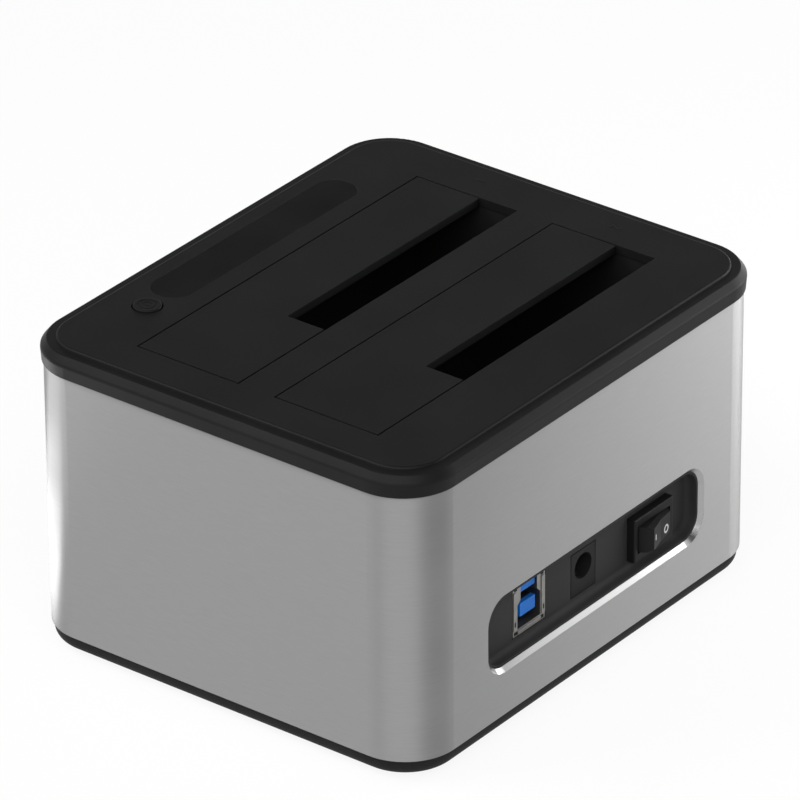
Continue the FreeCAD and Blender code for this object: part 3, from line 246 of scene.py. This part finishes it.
finishes = {
    "cover_black": moulded("cover_black", (0.0092, 0.0092, 0.0094), 0.48, specular=0.10),
    "flap_black": moulded("flap_black", (0.0090, 0.0090, 0.0092), 0.48, specular=0.10),
    # The cut colour is lighter than the sheet: partly a painted highlight on the chamfer.
    "sleeve_silver": brushed_aluminium("sleeve_silver", (0.30, 0.30, 0.30),
                                       cut_and_highlight_colour=(0.36, 0.36, 0.36)),
    "base_black": moulded("base_black", (0.0120, 0.0120, 0.0124), 0.6, specular=0.12),
    "panel_black": moulded("panel_black", (0.030, 0.030, 0.030), 0.65, specular=0.10),
    "window_smoke": polished_lens("window_smoke", (0.0062, 0.0062, 0.0065)),
    "button_black": moulded("button_black", (0.0090, 0.0090, 0.0092), 0.46, specular=0.1,
                            grain_depth=0.004, edge=0.2),
    "inner_black": moulded("inner_black", (0.010, 0.010, 0.010), 0.6, specular=0.15),
    "board_green": circuit_board("board_green", (0.012, 0.085, 0.035)),
    "chip_black": moulded("chip_black", (0.022, 0.022, 0.023), 0.5),
    "steel": plain_metal("steel", (0.55, 0.55, 0.54), 0.3),
    "contact_gold": plain_metal("contact_gold", (0.83, 0.60, 0.24), 0.25, scratch=0.001),
    "usb_metal": plain_metal("usb_metal", (0.25, 0.247, 0.236), 0.42),
    "usb_blue": moulded("usb_blue", (0.010, 0.135, 0.50), 0.5, specular=0.2, grain_depth=0.003,
                        edge=0.1),
    "foot_rubber": moulded("foot_rubber", (0.020, 0.020, 0.020), 0.85, specular=0.3,
                           grain_depth=0.03),
    "led_white": moulded("led_white", (0.80, 0.80, 0.72), 0.35, grain_depth=0.002, edge=0.05),
    "baffle_white": moulded("baffle_white", (0.72, 0.72, 0.70), 0.6),
    "header_white": moulded("header_white", (0.72, 0.70, 0.62), 0.5),
    "ribbon_grey": moulded("ribbon_grey", (0.42, 0.42, 0.42), 0.6, edge=0.1),
    "lead_red": moulded("lead_red", (0.38, 0.02, 0.02), 0.5, edge=0.05),
    "capacitor_shell": plain_metal("capacitor_shell", (0.68, 0.68, 0.70), 0.22),
}
mark_white = moulded("mark_white", (0.62, 0.62, 0.60), 0.6, grain_depth=0.002, edge=0.02,
                     mottle=0.2)

for subpart in frame["record"]["subparts"]:
    mesh = frame["nodes"][subpart["node"]].data
    mesh.materials.clear()
    mesh.materials.append(finishes[subpart["material_slot"]])


# ------------------------------------------------------------------ mesh helpers
REARWARD = Vector((0, 1, 0))
UPWARD = Vector((0, 0, 1))
DOWNWARD = Vector((0, 0, -1))
RING_SIDES = 48
CORNER_STEPS = 6
MERGE_DISTANCE = 1e-7
RAY_START = 5 * MM            # how far outside a node a ray starts


def new_piece(name, form, body, slot, finish=None):
    """A mesh that rides on a body and wears one finish, as a rule the one of its slot."""
    bmesh.ops.recalc_face_normals(form, faces=form.faces)
    mesh = bpy.data.meshes.new(name)
    form.to_mesh(mesh)
    form.free()
    piece = bpy.data.objects.new(name, mesh)
    scene.collection.objects.link(piece)
    mesh.materials.append(finish or finishes[slot])
    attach(piece, body)


def ring(form, place, inner, outer, low, high):
    """Adds a flat washer, drawn about the origin and set down by a matrix."""
    loops = []
    for radius, level in ((inner, low), (outer, low), (outer, high), (inner, high)):
        loop = []
        for step in range(RING_SIDES):
            angle = 2 * math.pi * step / RING_SIDES
            spot = Vector((radius * math.cos(angle), radius * math.sin(angle), level))
            loop.append(form.verts.new(place @ spot))
        loops.append(loop)
    for loop, following in zip(loops, loops[1:] + loops[:1]):
        for step in range(RING_SIDES):
            after = (step + 1) % RING_SIDES
            form.faces.new((loop[step], loop[after], following[after], following[step]))


def bar(form, place, size_x, size_y, low, high, corner=None):
    """Adds a bar with round ends or corners, drawn about the origin and set down by a matrix."""
    radius = min(size_x, size_y) / 2 if corner is None else corner
    reach_x = max(0, size_x / 2 - radius)
    reach_y = max(0, size_y / 2 - radius)
    outline = []
    for quarter in range(4):
        side_x = 1 if quarter in (0, 3) else -1
        side_y = 1 if quarter in (0, 1) else -1
        for step in range(CORNER_STEPS + 1):
            angle = (quarter + step / CORNER_STEPS) * math.pi / 2
            outline.append((side_x * reach_x + radius * math.cos(angle),
                            side_y * reach_y + radius * math.sin(angle)))
    bottom = [form.verts.new(place @ Vector((x, y, low))) for x, y in outline]
    top = [form.verts.new(place @ Vector((x, y, high))) for x, y in outline]
    form.faces.new(top)
    form.faces.new(bottom)
    for step in range(len(outline)):
        after = (step + 1) % len(outline)
        form.faces.new((bottom[step], bottom[after], top[after], top[step]))
    bmesh.ops.remove_doubles(form, verts=form.verts, dist=MERGE_DISTANCE)


def on_rear_surface(node, x, z):
    """Where a forward ray meets a node: a frame whose Z is the surface's normal, with Y up."""
    mesh = frame["nodes"][node].data
    tree = BVHTree.FromPolygons([v.co for v in mesh.vertices], [p.vertices for p in mesh.polygons])
    start = Vector((x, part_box(node)[1].y + RAY_START, z))
    spot, normal = tree.ray_cast(start, -REARWARD)[:2]
    across = UPWARD.cross(normal).normalized()
    upward = normal.cross(across).normalized()
    axes = Matrix((across, upward, normal)).transposed().to_4x4()
    return Matrix.Translation(spot) @ axes


def centre(node):
    low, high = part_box(node)
    return (low + high) / 2


def facing(x, y, z, normal):
    """A frame at a place, whose X runs along +X and whose Z is the way that the surface faces."""
    across = Vector((1, 0, 0))
    axes = Matrix((across, normal.cross(across), normal)).transposed().to_4x4()
    return Matrix.Translation((x, y, z)) @ axes


# ------------------------------------------------------------------ marks and small pieces
# Rings are given by their two radii, and bars by width and length, or by size in X and Y.
MARK_HEIGHT = 0.04 * MM
BUTTON_DISH = 0.15 * MM
BUTTON_RING = (1.35 * MM, 1.7 * MM)
BUTTON_BAR = (0.35 * MM, 1.5 * MM)
ROCKER_RING = (0.65 * MM, 1.1 * MM)
ROCKER_RING_AT = -0.29        # from the rocker's middle, as a share of its length
ROCKER_RING_DROP = 0.9 * MM
ROCKER_BAR = (0.45 * MM, 1.5 * MM)
ROCKER_BAR_AT = 0.21
NUMBER_SIZE = 4.2 * MM
NUMBER_FROM_SIDE = 9.85 * MM
NUMBER_FROM_SLOT = 1.2 * MM

USB_CAVITY_DEPTH = 9.5 * MM
USB_BODY_HEIGHT = 7.3 * MM
USB_TONGUE_LIFT = 2.5 * MM
USB_TONGUE_HEIGHT = 3.3 * MM
USB_UPPER_HEIGHT = 1.9 * MM
USB_LIP_HEIGHT = 0.2 * MM
USB_LIP_MARGIN = 0.15 * MM    # from the shell's outer edge to a lip
USB_LIP_CORNER = 0.25 * MM
USB_SIDE_LIP_LESS = (0.5 * MM, 3.0 * MM)
USB_SILL_LESS = (3.4 * MM, 0.45 * MM)
# The locking notch and slit marks are dark: painted shade standing in for holes.
USB_NOTCH = (1.1 * MM, 0.8 * MM)
USB_NOTCH_CORNER = 0.2 * MM
USB_NOTCH_OUT = 4.95 * MM
USB_NOTCH_FROM_BOTTOM = 0.75 * MM
USB_NOTCH_FROM_TOP = 0.8 * MM
USB_SLIT = (0.45 * MM, 1.3 * MM)
USB_SLIT_OUT = 5.3 * MM
USB_SLIT_DROP = 3.2 * MM
# The black sheet over the cavity's rear wall is painted shade, and these are its size and
# thickness.
USB_REAR_SHADE_LESS = 0.1 * MM
USB_REAR_SHADE_THICKNESS = 0.1 * MM
USB_INNER_CORNER = 0.3 * MM
# The black piece on the tongue's top is partly the real contact slots and partly painted shade.
USB_CARRIER_AND_SHADE_WIDTH = 5.4 * MM
USB_CARRIER_AND_SHADE_LESS = 1.6 * MM
USB_STRIP_THICKNESS = 0.08 * MM
USB_STRIP_CORNER = 0.1 * MM
USB_STRIP_LENGTH = 6.4 * MM
USB_STRIP_FROM_MOUTH = 4.0 * MM
USB_LOWER_STRIPS = (1.0 * MM, (-1.25 * MM, 1.25 * MM))      # width and places
USB_UPPER_STRIPS = (0.5 * MM, (-2 * MM, -1 * MM, 0, 1 * MM, 2 * MM))

DC_LEAF = (1.5 * MM, 6.0 * MM)
DC_LEAF_THICKNESS = 0.25 * MM
DC_LEAF_CORNER = 0.3 * MM
DC_LEAF_FROM_MOUTH = 5.2 * MM
DC_LEAF_DROP = 3.12 * MM

CHIP_LEG_ROWS = (             # node, sides, pitch, legs on a side
    ("bridge_chip", 4, 0.8 * MM, 11),
    ("memory_chip", 2, 1.27 * MM, 3),
)
LEG_WIDTH = 0.36 * MM
LEG_CORNER = 0.05 * MM
LEG_FOOT_LENGTH = 1.0 * MM
LEG_FOOT_OUT = 0.5 * MM
LEG_FOOT_HEIGHT = 0.14 * MM
LEG_BEND_LENGTH = 0.24 * MM
LEG_BEND_OUT = 0.12 * MM
LEG_BEND_LEVELS = (0.1 * MM, 0.55 * MM)

PASSIVE_ROWS, PASSIVE_COLUMNS = 2, 5
PASSIVE_PITCH = (2.6, 2.0)    # millimetres, as is the next one
PASSIVE_START = (3.0, 1.0)
PASSIVE_BODY = (1.1 * MM, 0.75 * MM)
PASSIVE_BODY_HEIGHT = 0.5 * MM
PASSIVE_BODY_CORNER = 0.06 * MM
PASSIVE_END = (0.42 * MM, 0.8 * MM)
PASSIVE_END_OUT = 0.68 * MM
PASSIVE_END_HEIGHT = 0.53 * MM
PASSIVE_END_CORNER = 0.08 * MM

CAPACITOR_COUNT = 3
VENT_LENGTH = 1.3             # as a share of the radius, as is the next pair
VENT_RIM = (0.78, 0.86)
VENT_WIDTH = 0.25 * MM

PLATE_SIZE = (58 * MM, 34 * MM)
PLATE_LINE = 0.6 * MM
RELIEF = 0.25 * MM


def make_button_mark():
    """A ring and a bar, raised in the dish of the clone button."""
    spot = centre("clone_button")
    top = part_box("clone_button")[1].z
    place = Matrix.Translation((spot.x, spot.y, top - BUTTON_DISH))
    form = bmesh.new()
    ring(form, place, *BUTTON_RING, 0, 2 * MARK_HEIGHT)
    bar(form, place, *BUTTON_BAR, 0, 2 * MARK_HEIGHT)
    new_piece("clone_button_mark", form, "button", "button_black")


def make_rocker_marks():
    """A ring and a bar printed on the rocker's two slopes."""
    low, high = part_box("power_rocker")
    middle = centre("power_rocker")
    length = high.x - low.x
    ring_place = on_rear_surface("power_rocker", middle.x + ROCKER_RING_AT * length,
                                 middle.z - ROCKER_RING_DROP)
    bar_place = on_rear_surface("power_rocker", middle.x + ROCKER_BAR_AT * length, middle.z)
    form = bmesh.new()
    ring(form, ring_place, *ROCKER_RING, -MARK_HEIGHT, MARK_HEIGHT)
    bar(form, bar_place, *ROCKER_BAR, -MARK_HEIGHT, MARK_HEIGHT)
    new_piece("rocker_marks", form, "rocker", "button_black", finish=mark_white)


def make_bay_numbers():
    """A raised number beside each bay."""
    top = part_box("front_bay_flap")[1].z
    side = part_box("top_cover")[0].x
    for number, bay in enumerate(("front", "rear"), start=1):
        name = "bay_number_" + str(number)
        text = bpy.data.curves.new(name, "FONT")
        text.body = str(number)
        text.size = NUMBER_SIZE
        text.extrude = MARK_HEIGHT
        text.align_x = "CENTER"
        text.align_y = "CENTER"
        piece = bpy.data.objects.new(name, text)
        scene.collection.objects.link(piece)
        slot_y = centre(bay + "_bay_flap").y
        piece.location = (side + NUMBER_FROM_SIDE, slot_y + NUMBER_FROM_SLOT, top)
        text.materials.append(finishes["button_black"])
        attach(piece, "casing")


def make_usb_shell_details():
    """Folded lips round the mouth of the USB receptacle, and dark marks of painted shade where its
    locking notch holes and slits are.
    """
    low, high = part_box("usb_shell")
    cavity_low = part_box("usb_insulator")[0]
    middle = centre("usb_shell")
    lips = bmesh.new()
    side_width = (cavity_low.x - low.x) - USB_SIDE_LIP_LESS[0]
    side_length = (high.z - low.z) - USB_SIDE_LIP_LESS[1]
    for end, edge_x in ((-1, low.x), (1, high.x)):
        x = edge_x - end * (side_width / 2 + USB_LIP_MARGIN)
        bar(lips, facing(x, high.y, middle.z, REARWARD), side_width, side_length,
            0, USB_LIP_HEIGHT, USB_LIP_CORNER)
    sill_length = (high.x - low.x) - USB_SILL_LESS[0]
    sill_height = cavity_low.z - low.z - USB_SILL_LESS[1]
    sill_z = low.z + sill_height / 2 + USB_LIP_MARGIN
    bar(lips, facing(middle.x, high.y, sill_z, REARWARD), sill_length, sill_height,
        0, USB_LIP_HEIGHT, USB_LIP_CORNER)
    new_piece("usb_shell_lips", lips, "casing", "usb_metal")

    # Each notch and slit is a dark mark laid on the shell: painted shade for a hole.
    notch_shade = bmesh.new()
    for end in (-1, 1):
        for level in (low.z + USB_NOTCH_FROM_BOTTOM, high.z - USB_NOTCH_FROM_TOP):
            spot = facing(middle.x + end * USB_NOTCH_OUT, high.y, level, REARWARD)
            bar(notch_shade, spot, *USB_NOTCH, -MARK_HEIGHT, MARK_HEIGHT, USB_NOTCH_CORNER)
        spot = facing(middle.x + end * USB_SLIT_OUT, high.y, middle.z - USB_SLIT_DROP, REARWARD)
        bar(notch_shade, spot, *USB_SLIT, USB_LIP_HEIGHT - MARK_HEIGHT, USB_LIP_HEIGHT + MARK_HEIGHT)
    new_piece("usb_shell_notch_shade", notch_shade, "casing", "inner_black")


def make_usb_inner_details():
    """Inside the USB receptacle: a black sheet on the rear wall, which is painted shade, a black
    contact piece on the tongue's top, which is partly painted shade and partly the real contact
    slots, and contact strips.
    """
    cavity_low, cavity_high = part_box("usb_insulator")
    middle_x = centre("usb_shell").x
    cavity_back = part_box("usb_shell")[1].y - USB_CAVITY_DEPTH
    # A black sheet over the blue rear wall of the cavity: painted shade.
    wall = bmesh.new()
    bar(wall, facing(middle_x, cavity_back, cavity_low.z + USB_BODY_HEIGHT / 2, REARWARD),
        (cavity_high.x - cavity_low.x) - USB_REAR_SHADE_LESS, USB_BODY_HEIGHT - USB_REAR_SHADE_LESS,
        0, USB_REAR_SHADE_THICKNESS, USB_INNER_CORNER)
    new_piece("usb_rear_wall_shade", wall, "casing", "inner_black")

    # A black piece over the tongue's top: partly the real contact slots, partly painted shade where
    # the tongue lies in shadow.
    carrier_and_shade = bmesh.new()
    tongue_top = cavity_low.z + USB_TONGUE_LIFT + USB_TONGUE_HEIGHT
    carrier_and_shade_length = USB_CAVITY_DEPTH - USB_CARRIER_AND_SHADE_LESS
    bar(carrier_and_shade, facing(middle_x, cavity_back + carrier_and_shade_length / 2, tongue_top, UPWARD),
        USB_CARRIER_AND_SHADE_WIDTH, carrier_and_shade_length, 0, USB_STRIP_THICKNESS, USB_INNER_CORNER)
    new_piece("usb_contact_carrier_and_shade", carrier_and_shade, "casing", "inner_black")

    strips = bmesh.new()
    strip_y = cavity_high.y - USB_STRIP_FROM_MOUTH
    for level, (width, places) in ((cavity_low.z + USB_TONGUE_LIFT, USB_LOWER_STRIPS),
                                   (cavity_high.z - USB_UPPER_HEIGHT, USB_UPPER_STRIPS)):
        for place in places:
            bar(strips, facing(middle_x + place, strip_y, level, DOWNWARD), width,
                USB_STRIP_LENGTH, 0, USB_STRIP_THICKNESS, USB_STRIP_CORNER)
    new_piece("usb_contact_strips", strips, "casing", "contact_gold")


def make_dc_contact():
    """A leaf contact along the lower side of the power jack's bore."""
    pin = centre("dc_centre_pin")
    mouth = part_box("dc_jack_body")[1].y
    form = bmesh.new()
    bar(form, facing(pin.x, mouth - DC_LEAF_FROM_MOUTH, pin.z - DC_LEAF_DROP, UPWARD), *DC_LEAF,
        0, DC_LEAF_THICKNESS, DC_LEAF_CORNER)
    new_piece("dc_leaf_contact", form, "casing", "steel")


def make_chip_legs():
    """Legs on the four sides of the bridge chip and on two sides of the memory chip."""
    form = bmesh.new()
    for node, sides, pitch, count in CHIP_LEG_ROWS:
        low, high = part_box(node)
        half = ((high.x - low.x) / 2, (high.y - low.y) / 2)
        for side in range(sides):
            turn = Matrix.Rotation(side * 2 * math.pi / sides, 4, "Z")
            base = Matrix.Translation((centre(node).x, centre(node).y, low.z)) @ turn
            out = half[side % 2] if sides == 4 else half[0]
            for step in range(count):
                along = (step - (count - 1) / 2) * pitch
                foot = base @ Matrix.Translation((out + LEG_FOOT_OUT, along, 0))
                bar(form, foot, LEG_FOOT_LENGTH, LEG_WIDTH, 0, LEG_FOOT_HEIGHT, LEG_CORNER)
                bend = base @ Matrix.Translation((out + LEG_BEND_OUT, along, 0))
                bar(form, bend, LEG_BEND_LENGTH, LEG_WIDTH, *LEG_BEND_LEVELS, LEG_CORNER)
    new_piece("chip_legs", form, "casing", "steel")


def make_board_passives():
    """Small two-ended chip capacitors in rows beside the bridge chip."""
    bodies = bmesh.new()
    ends = bmesh.new()
    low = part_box("bridge_chip")[0]
    for row in range(PASSIVE_ROWS):
        for column in range(PASSIVE_COLUMNS):
            x = low.x - (PASSIVE_START[0] + PASSIVE_PITCH[0] * row) * MM
            y = low.y + (PASSIVE_START[1] + PASSIVE_PITCH[1] * column) * MM
            place = Matrix.Translation((x, y, low.z))
            bar(bodies, place, *PASSIVE_BODY, 0, PASSIVE_BODY_HEIGHT, PASSIVE_BODY_CORNER)
            for end in (-1, 1):
                bar(ends, place @ Matrix.Translation((end * PASSIVE_END_OUT, 0, 0)), *PASSIVE_END,
                    0, PASSIVE_END_HEIGHT, PASSIVE_END_CORNER)
    new_piece("board_passive_bodies", bodies, "casing", "header_white")
    new_piece("board_passive_ends", ends, "casing", "steel")


def make_capacitor_vents():
    """The scored cross and the rolled rim on the top of each electrolytic capacitor."""
    low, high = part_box("capacitors")
    radius = (high.y - low.y) / 2
    pitch = (high.x - low.x - 2 * radius) / (CAPACITOR_COUNT - 1)
    row_y = centre("capacitors").y
    form = bmesh.new()
    for step in range(CAPACITOR_COUNT):
        place = Matrix.Translation((low.x + radius + step * pitch, row_y, high.z))
        bar(form, place, VENT_LENGTH * radius, VENT_WIDTH, 0, MARK_HEIGHT)
        bar(form, place, VENT_WIDTH, VENT_LENGTH * radius, 0, MARK_HEIGHT)
        ring(form, place, radius * VENT_RIM[0], radius * VENT_RIM[1], 0, 2 * MARK_HEIGHT)
    new_piece("capacitor_vents", form, "casing", "capacitor_shell")


def make_base_relief():
    """A raised border for a rating plate, left blank, under the base."""
    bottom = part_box("base_cover")[0].z
    form = bmesh.new()
    for end in (-1, 1):
        across = facing(0, end * PLATE_SIZE[1] / 2, bottom, DOWNWARD)
        bar(form, across, PLATE_SIZE[0] + PLATE_LINE, PLATE_LINE, -MARK_HEIGHT, RELIEF)
        along = facing(end * PLATE_SIZE[0] / 2, 0, bottom, DOWNWARD)
        bar(form, along, PLATE_LINE, PLATE_SIZE[1] + PLATE_LINE, -MARK_HEIGHT, RELIEF)
    new_piece("base_relief", form, "casing", "base_black")


make_button_mark()
make_rocker_marks()
make_bay_numbers()
make_usb_shell_details()
make_usb_inner_details()
make_dc_contact()
make_chip_legs()
make_board_passives()
make_capacitor_vents()
make_base_relief()


# ------------------------------------------------------------------ stage, lamps and camera
# The floor is flat, then curves up into a low wall. Metres.
FLOOR_GREY = 0.86
GLOW_SHARE = 0.9              # how much of the floor's look is plain white light
FLOOR_DROP = 0.05 * MM        # below the feet
FLOOR_FLAT_RADII = (0.5, 1.5, 3.0)
FLOOR_CURVE_RADIUS = 1.0
FLOOR_CURVE_STEPS = 8
FLOOR_RIM = (4.0, 1.3)        # radius and height
FLOOR_SIDES = 96

WORLD_STRENGTH = 0.125
LAMPS = (
    # name, heading, elevation, distance, width, height, power
    ("key_lamp", -48, 46, 1.4, 0.8, 0.8, 11.0),
    ("right_strip_lamp", 186, -2, 0.45, 0.16, 0.08, 0.2),
    ("port_side_lamp", 150, 10, 0.3, 0.12, 0.1, 0.3),
    ("port_corner_lamp", 132, 14, 0.3, 0.12, 0.1, 0.08),
    ("port_upper_lamp", 146, 33, 0.27, 0.1, 0.1, 0.08),
    ("camera_side_lamp", 30, 45, 1.7, 1.9, 1.2, 25.0),
)
# The lit card beside the button-side corner of the sleeve.
CARD_PLACE = Vector((66, -130, 1)) * MM
CARD_HEADING = -50
CARD_SIZE = (100 * MM, 80 * MM)
CARD_POWER = 0.13

CAMERA_HEADING = math.radians(37.67)
CAMERA_ELEVATION = math.radians(29.03)
CAMERA_ROLL = math.radians(-0.39)
CAMERA_DISTANCE = 1.8044
CAMERA_TARGET = Vector((-23.37, -17.17, 36.34)) * MM
CAMERA_SENSOR, CAMERA_LENS = 36.0, 349.97
CAMERA_REACH = 50.0


def white_stage_material():
    """A pale surface that photographs white where it is lit and still shows a soft shadow."""
    material = bpy.data.materials.new("stage_white")
    material.use_nodes = True
    tree = material.node_tree
    tree.nodes.clear()
    paint = add(tree, "ShaderNodeBsdfDiffuse",
                {"Color": (FLOOR_GREY, FLOOR_GREY, FLOOR_GREY, 1)})
    glow = add(tree, "ShaderNodeEmission", {"Color": (1, 1, 1, 1), "Strength": 1.0})
    path = add(tree, "ShaderNodeLightPath")
    seen = add(tree, "ShaderNodeMath", operation="MAXIMUM")
    seen_clear = add(tree, "ShaderNodeMath", operation="MAXIMUM")
    tree.links.new(path.outputs["Is Camera Ray"], seen.inputs[0])
    tree.links.new(path.outputs["Is Glossy Ray"], seen.inputs[1])
    tree.links.new(seen.outputs[0], seen_clear.inputs[0])
    tree.links.new(path.outputs["Is Transmission Ray"], seen_clear.inputs[1])
    share = add(tree, "ShaderNodeMath", {1: GLOW_SHARE}, operation="MULTIPLY")
    tree.links.new(seen_clear.outputs[0], share.inputs[0])
    mix = add(tree, "ShaderNodeMixShader")
    output = add(tree, "ShaderNodeOutputMaterial")
    tree.links.new(share.outputs[0], mix.inputs["Fac"])
    tree.links.new(paint.outputs[0], mix.inputs[1])
    tree.links.new(glow.outputs[0], mix.inputs[2])
    tree.links.new(mix.outputs[0], output.inputs["Surface"])
    return material


def make_stage():
    """A round floor that curves up into a low wall on every side."""
    profile = [(radius, 0.0) for radius in FLOOR_FLAT_RADII]
    for step in range(1, FLOOR_CURVE_STEPS + 1):
        angle = step / FLOOR_CURVE_STEPS * math.pi / 2
        profile.append((FLOOR_FLAT_RADII[-1] + FLOOR_CURVE_RADIUS * math.sin(angle),
                        FLOOR_CURVE_RADIUS - FLOOR_CURVE_RADIUS * math.cos(angle)))
    profile.append(FLOOR_RIM)
    form = bmesh.new()
    rows = []
    for radius, height in profile:
        row = []
        for step in range(FLOOR_SIDES):
            angle = 2 * math.pi * step / FLOOR_SIDES
            row.append(form.verts.new((radius * math.cos(angle), radius * math.sin(angle),
                                       height - FLOOR_DROP)))
        rows.append(row)
    form.faces.new(rows[0])
    for row, following in zip(rows, rows[1:]):
        for step in range(FLOOR_SIDES):
            after = (step + 1) % FLOOR_SIDES
            form.faces.new((row[step], following[step], following[after], row[after]))
    mesh = bpy.data.meshes.new("stage_floor")
    form.to_mesh(mesh)
    form.free()
    for face in mesh.polygons:
        face.use_smooth = face.index > 0
    floor = bpy.data.objects.new("stage_floor", mesh)
    scene.collection.objects.link(floor)
    mesh.materials.append(white_stage_material())


def lamp_panel(name, width, height, power):
    """A rectangular light that no camera sees."""
    data = bpy.data.lights.new(name, "AREA")
    data.shape = "RECTANGLE"
    data.size = width
    data.size_y = height
    data.energy = power
    lamp = bpy.data.objects.new(name, data)
    scene.collection.objects.link(lamp)
    lamp.visible_camera = False
    return lamp


def toward(heading, elevation):
    """A direction, by its angle from +X as seen from above and its angle above the floor."""
    flat = math.cos(elevation)
    return Vector((flat * math.cos(heading), flat * math.sin(heading), math.sin(elevation)))


def soft_lamp(name, heading, elevation, distance, width, height, power):
    """A softbox aimed at the middle of the object, from a heading and an elevation in degrees."""
    way = toward(math.radians(heading), math.radians(elevation))
    lamp = lamp_panel(name, width, height, power)
    lamp.location = (cad_bounds[0] + cad_bounds[1]) / 2 + way * distance
    lamp.rotation_euler = way.to_track_quat("Z", "Y").to_euler()


def make_card():
    """A light panel that lies on the floor and faces up, like a lit card beside the object."""
    card = lamp_panel("corner_card", *CARD_SIZE, CARD_POWER)
    card.location = CARD_PLACE
    card.rotation_euler = (math.pi, 0, math.radians(CARD_HEADING))


def make_world():
    world = bpy.data.worlds.new("studio")
    scene.world = world
    world.use_nodes = True
    background = world.node_tree.nodes["Background"]
    background.inputs["Color"].default_value = (1, 1, 1, 1)
    background.inputs["Strength"].default_value = WORLD_STRENGTH


def make_camera():
    """A long lens, level but for a slight roll."""
    back = toward(CAMERA_HEADING, CAMERA_ELEVATION)
    data = bpy.data.cameras.new("camera")
    data.sensor_width = CAMERA_SENSOR
    data.lens = CAMERA_LENS
    data.clip_end = CAMERA_REACH
    camera = bpy.data.objects.new("camera", data)
    scene.collection.objects.link(camera)
    turn = back.to_track_quat("Z", "Y").to_matrix().to_4x4()
    camera.matrix_world = (Matrix.Translation(CAMERA_TARGET + back * CAMERA_DISTANCE) @ turn
                           @ Matrix.Rotation(CAMERA_ROLL, 4, "Z"))
    scene.camera = camera


make_stage()
make_world()
for lamp in LAMPS:
    soft_lamp(*lamp)
make_card()
make_camera()
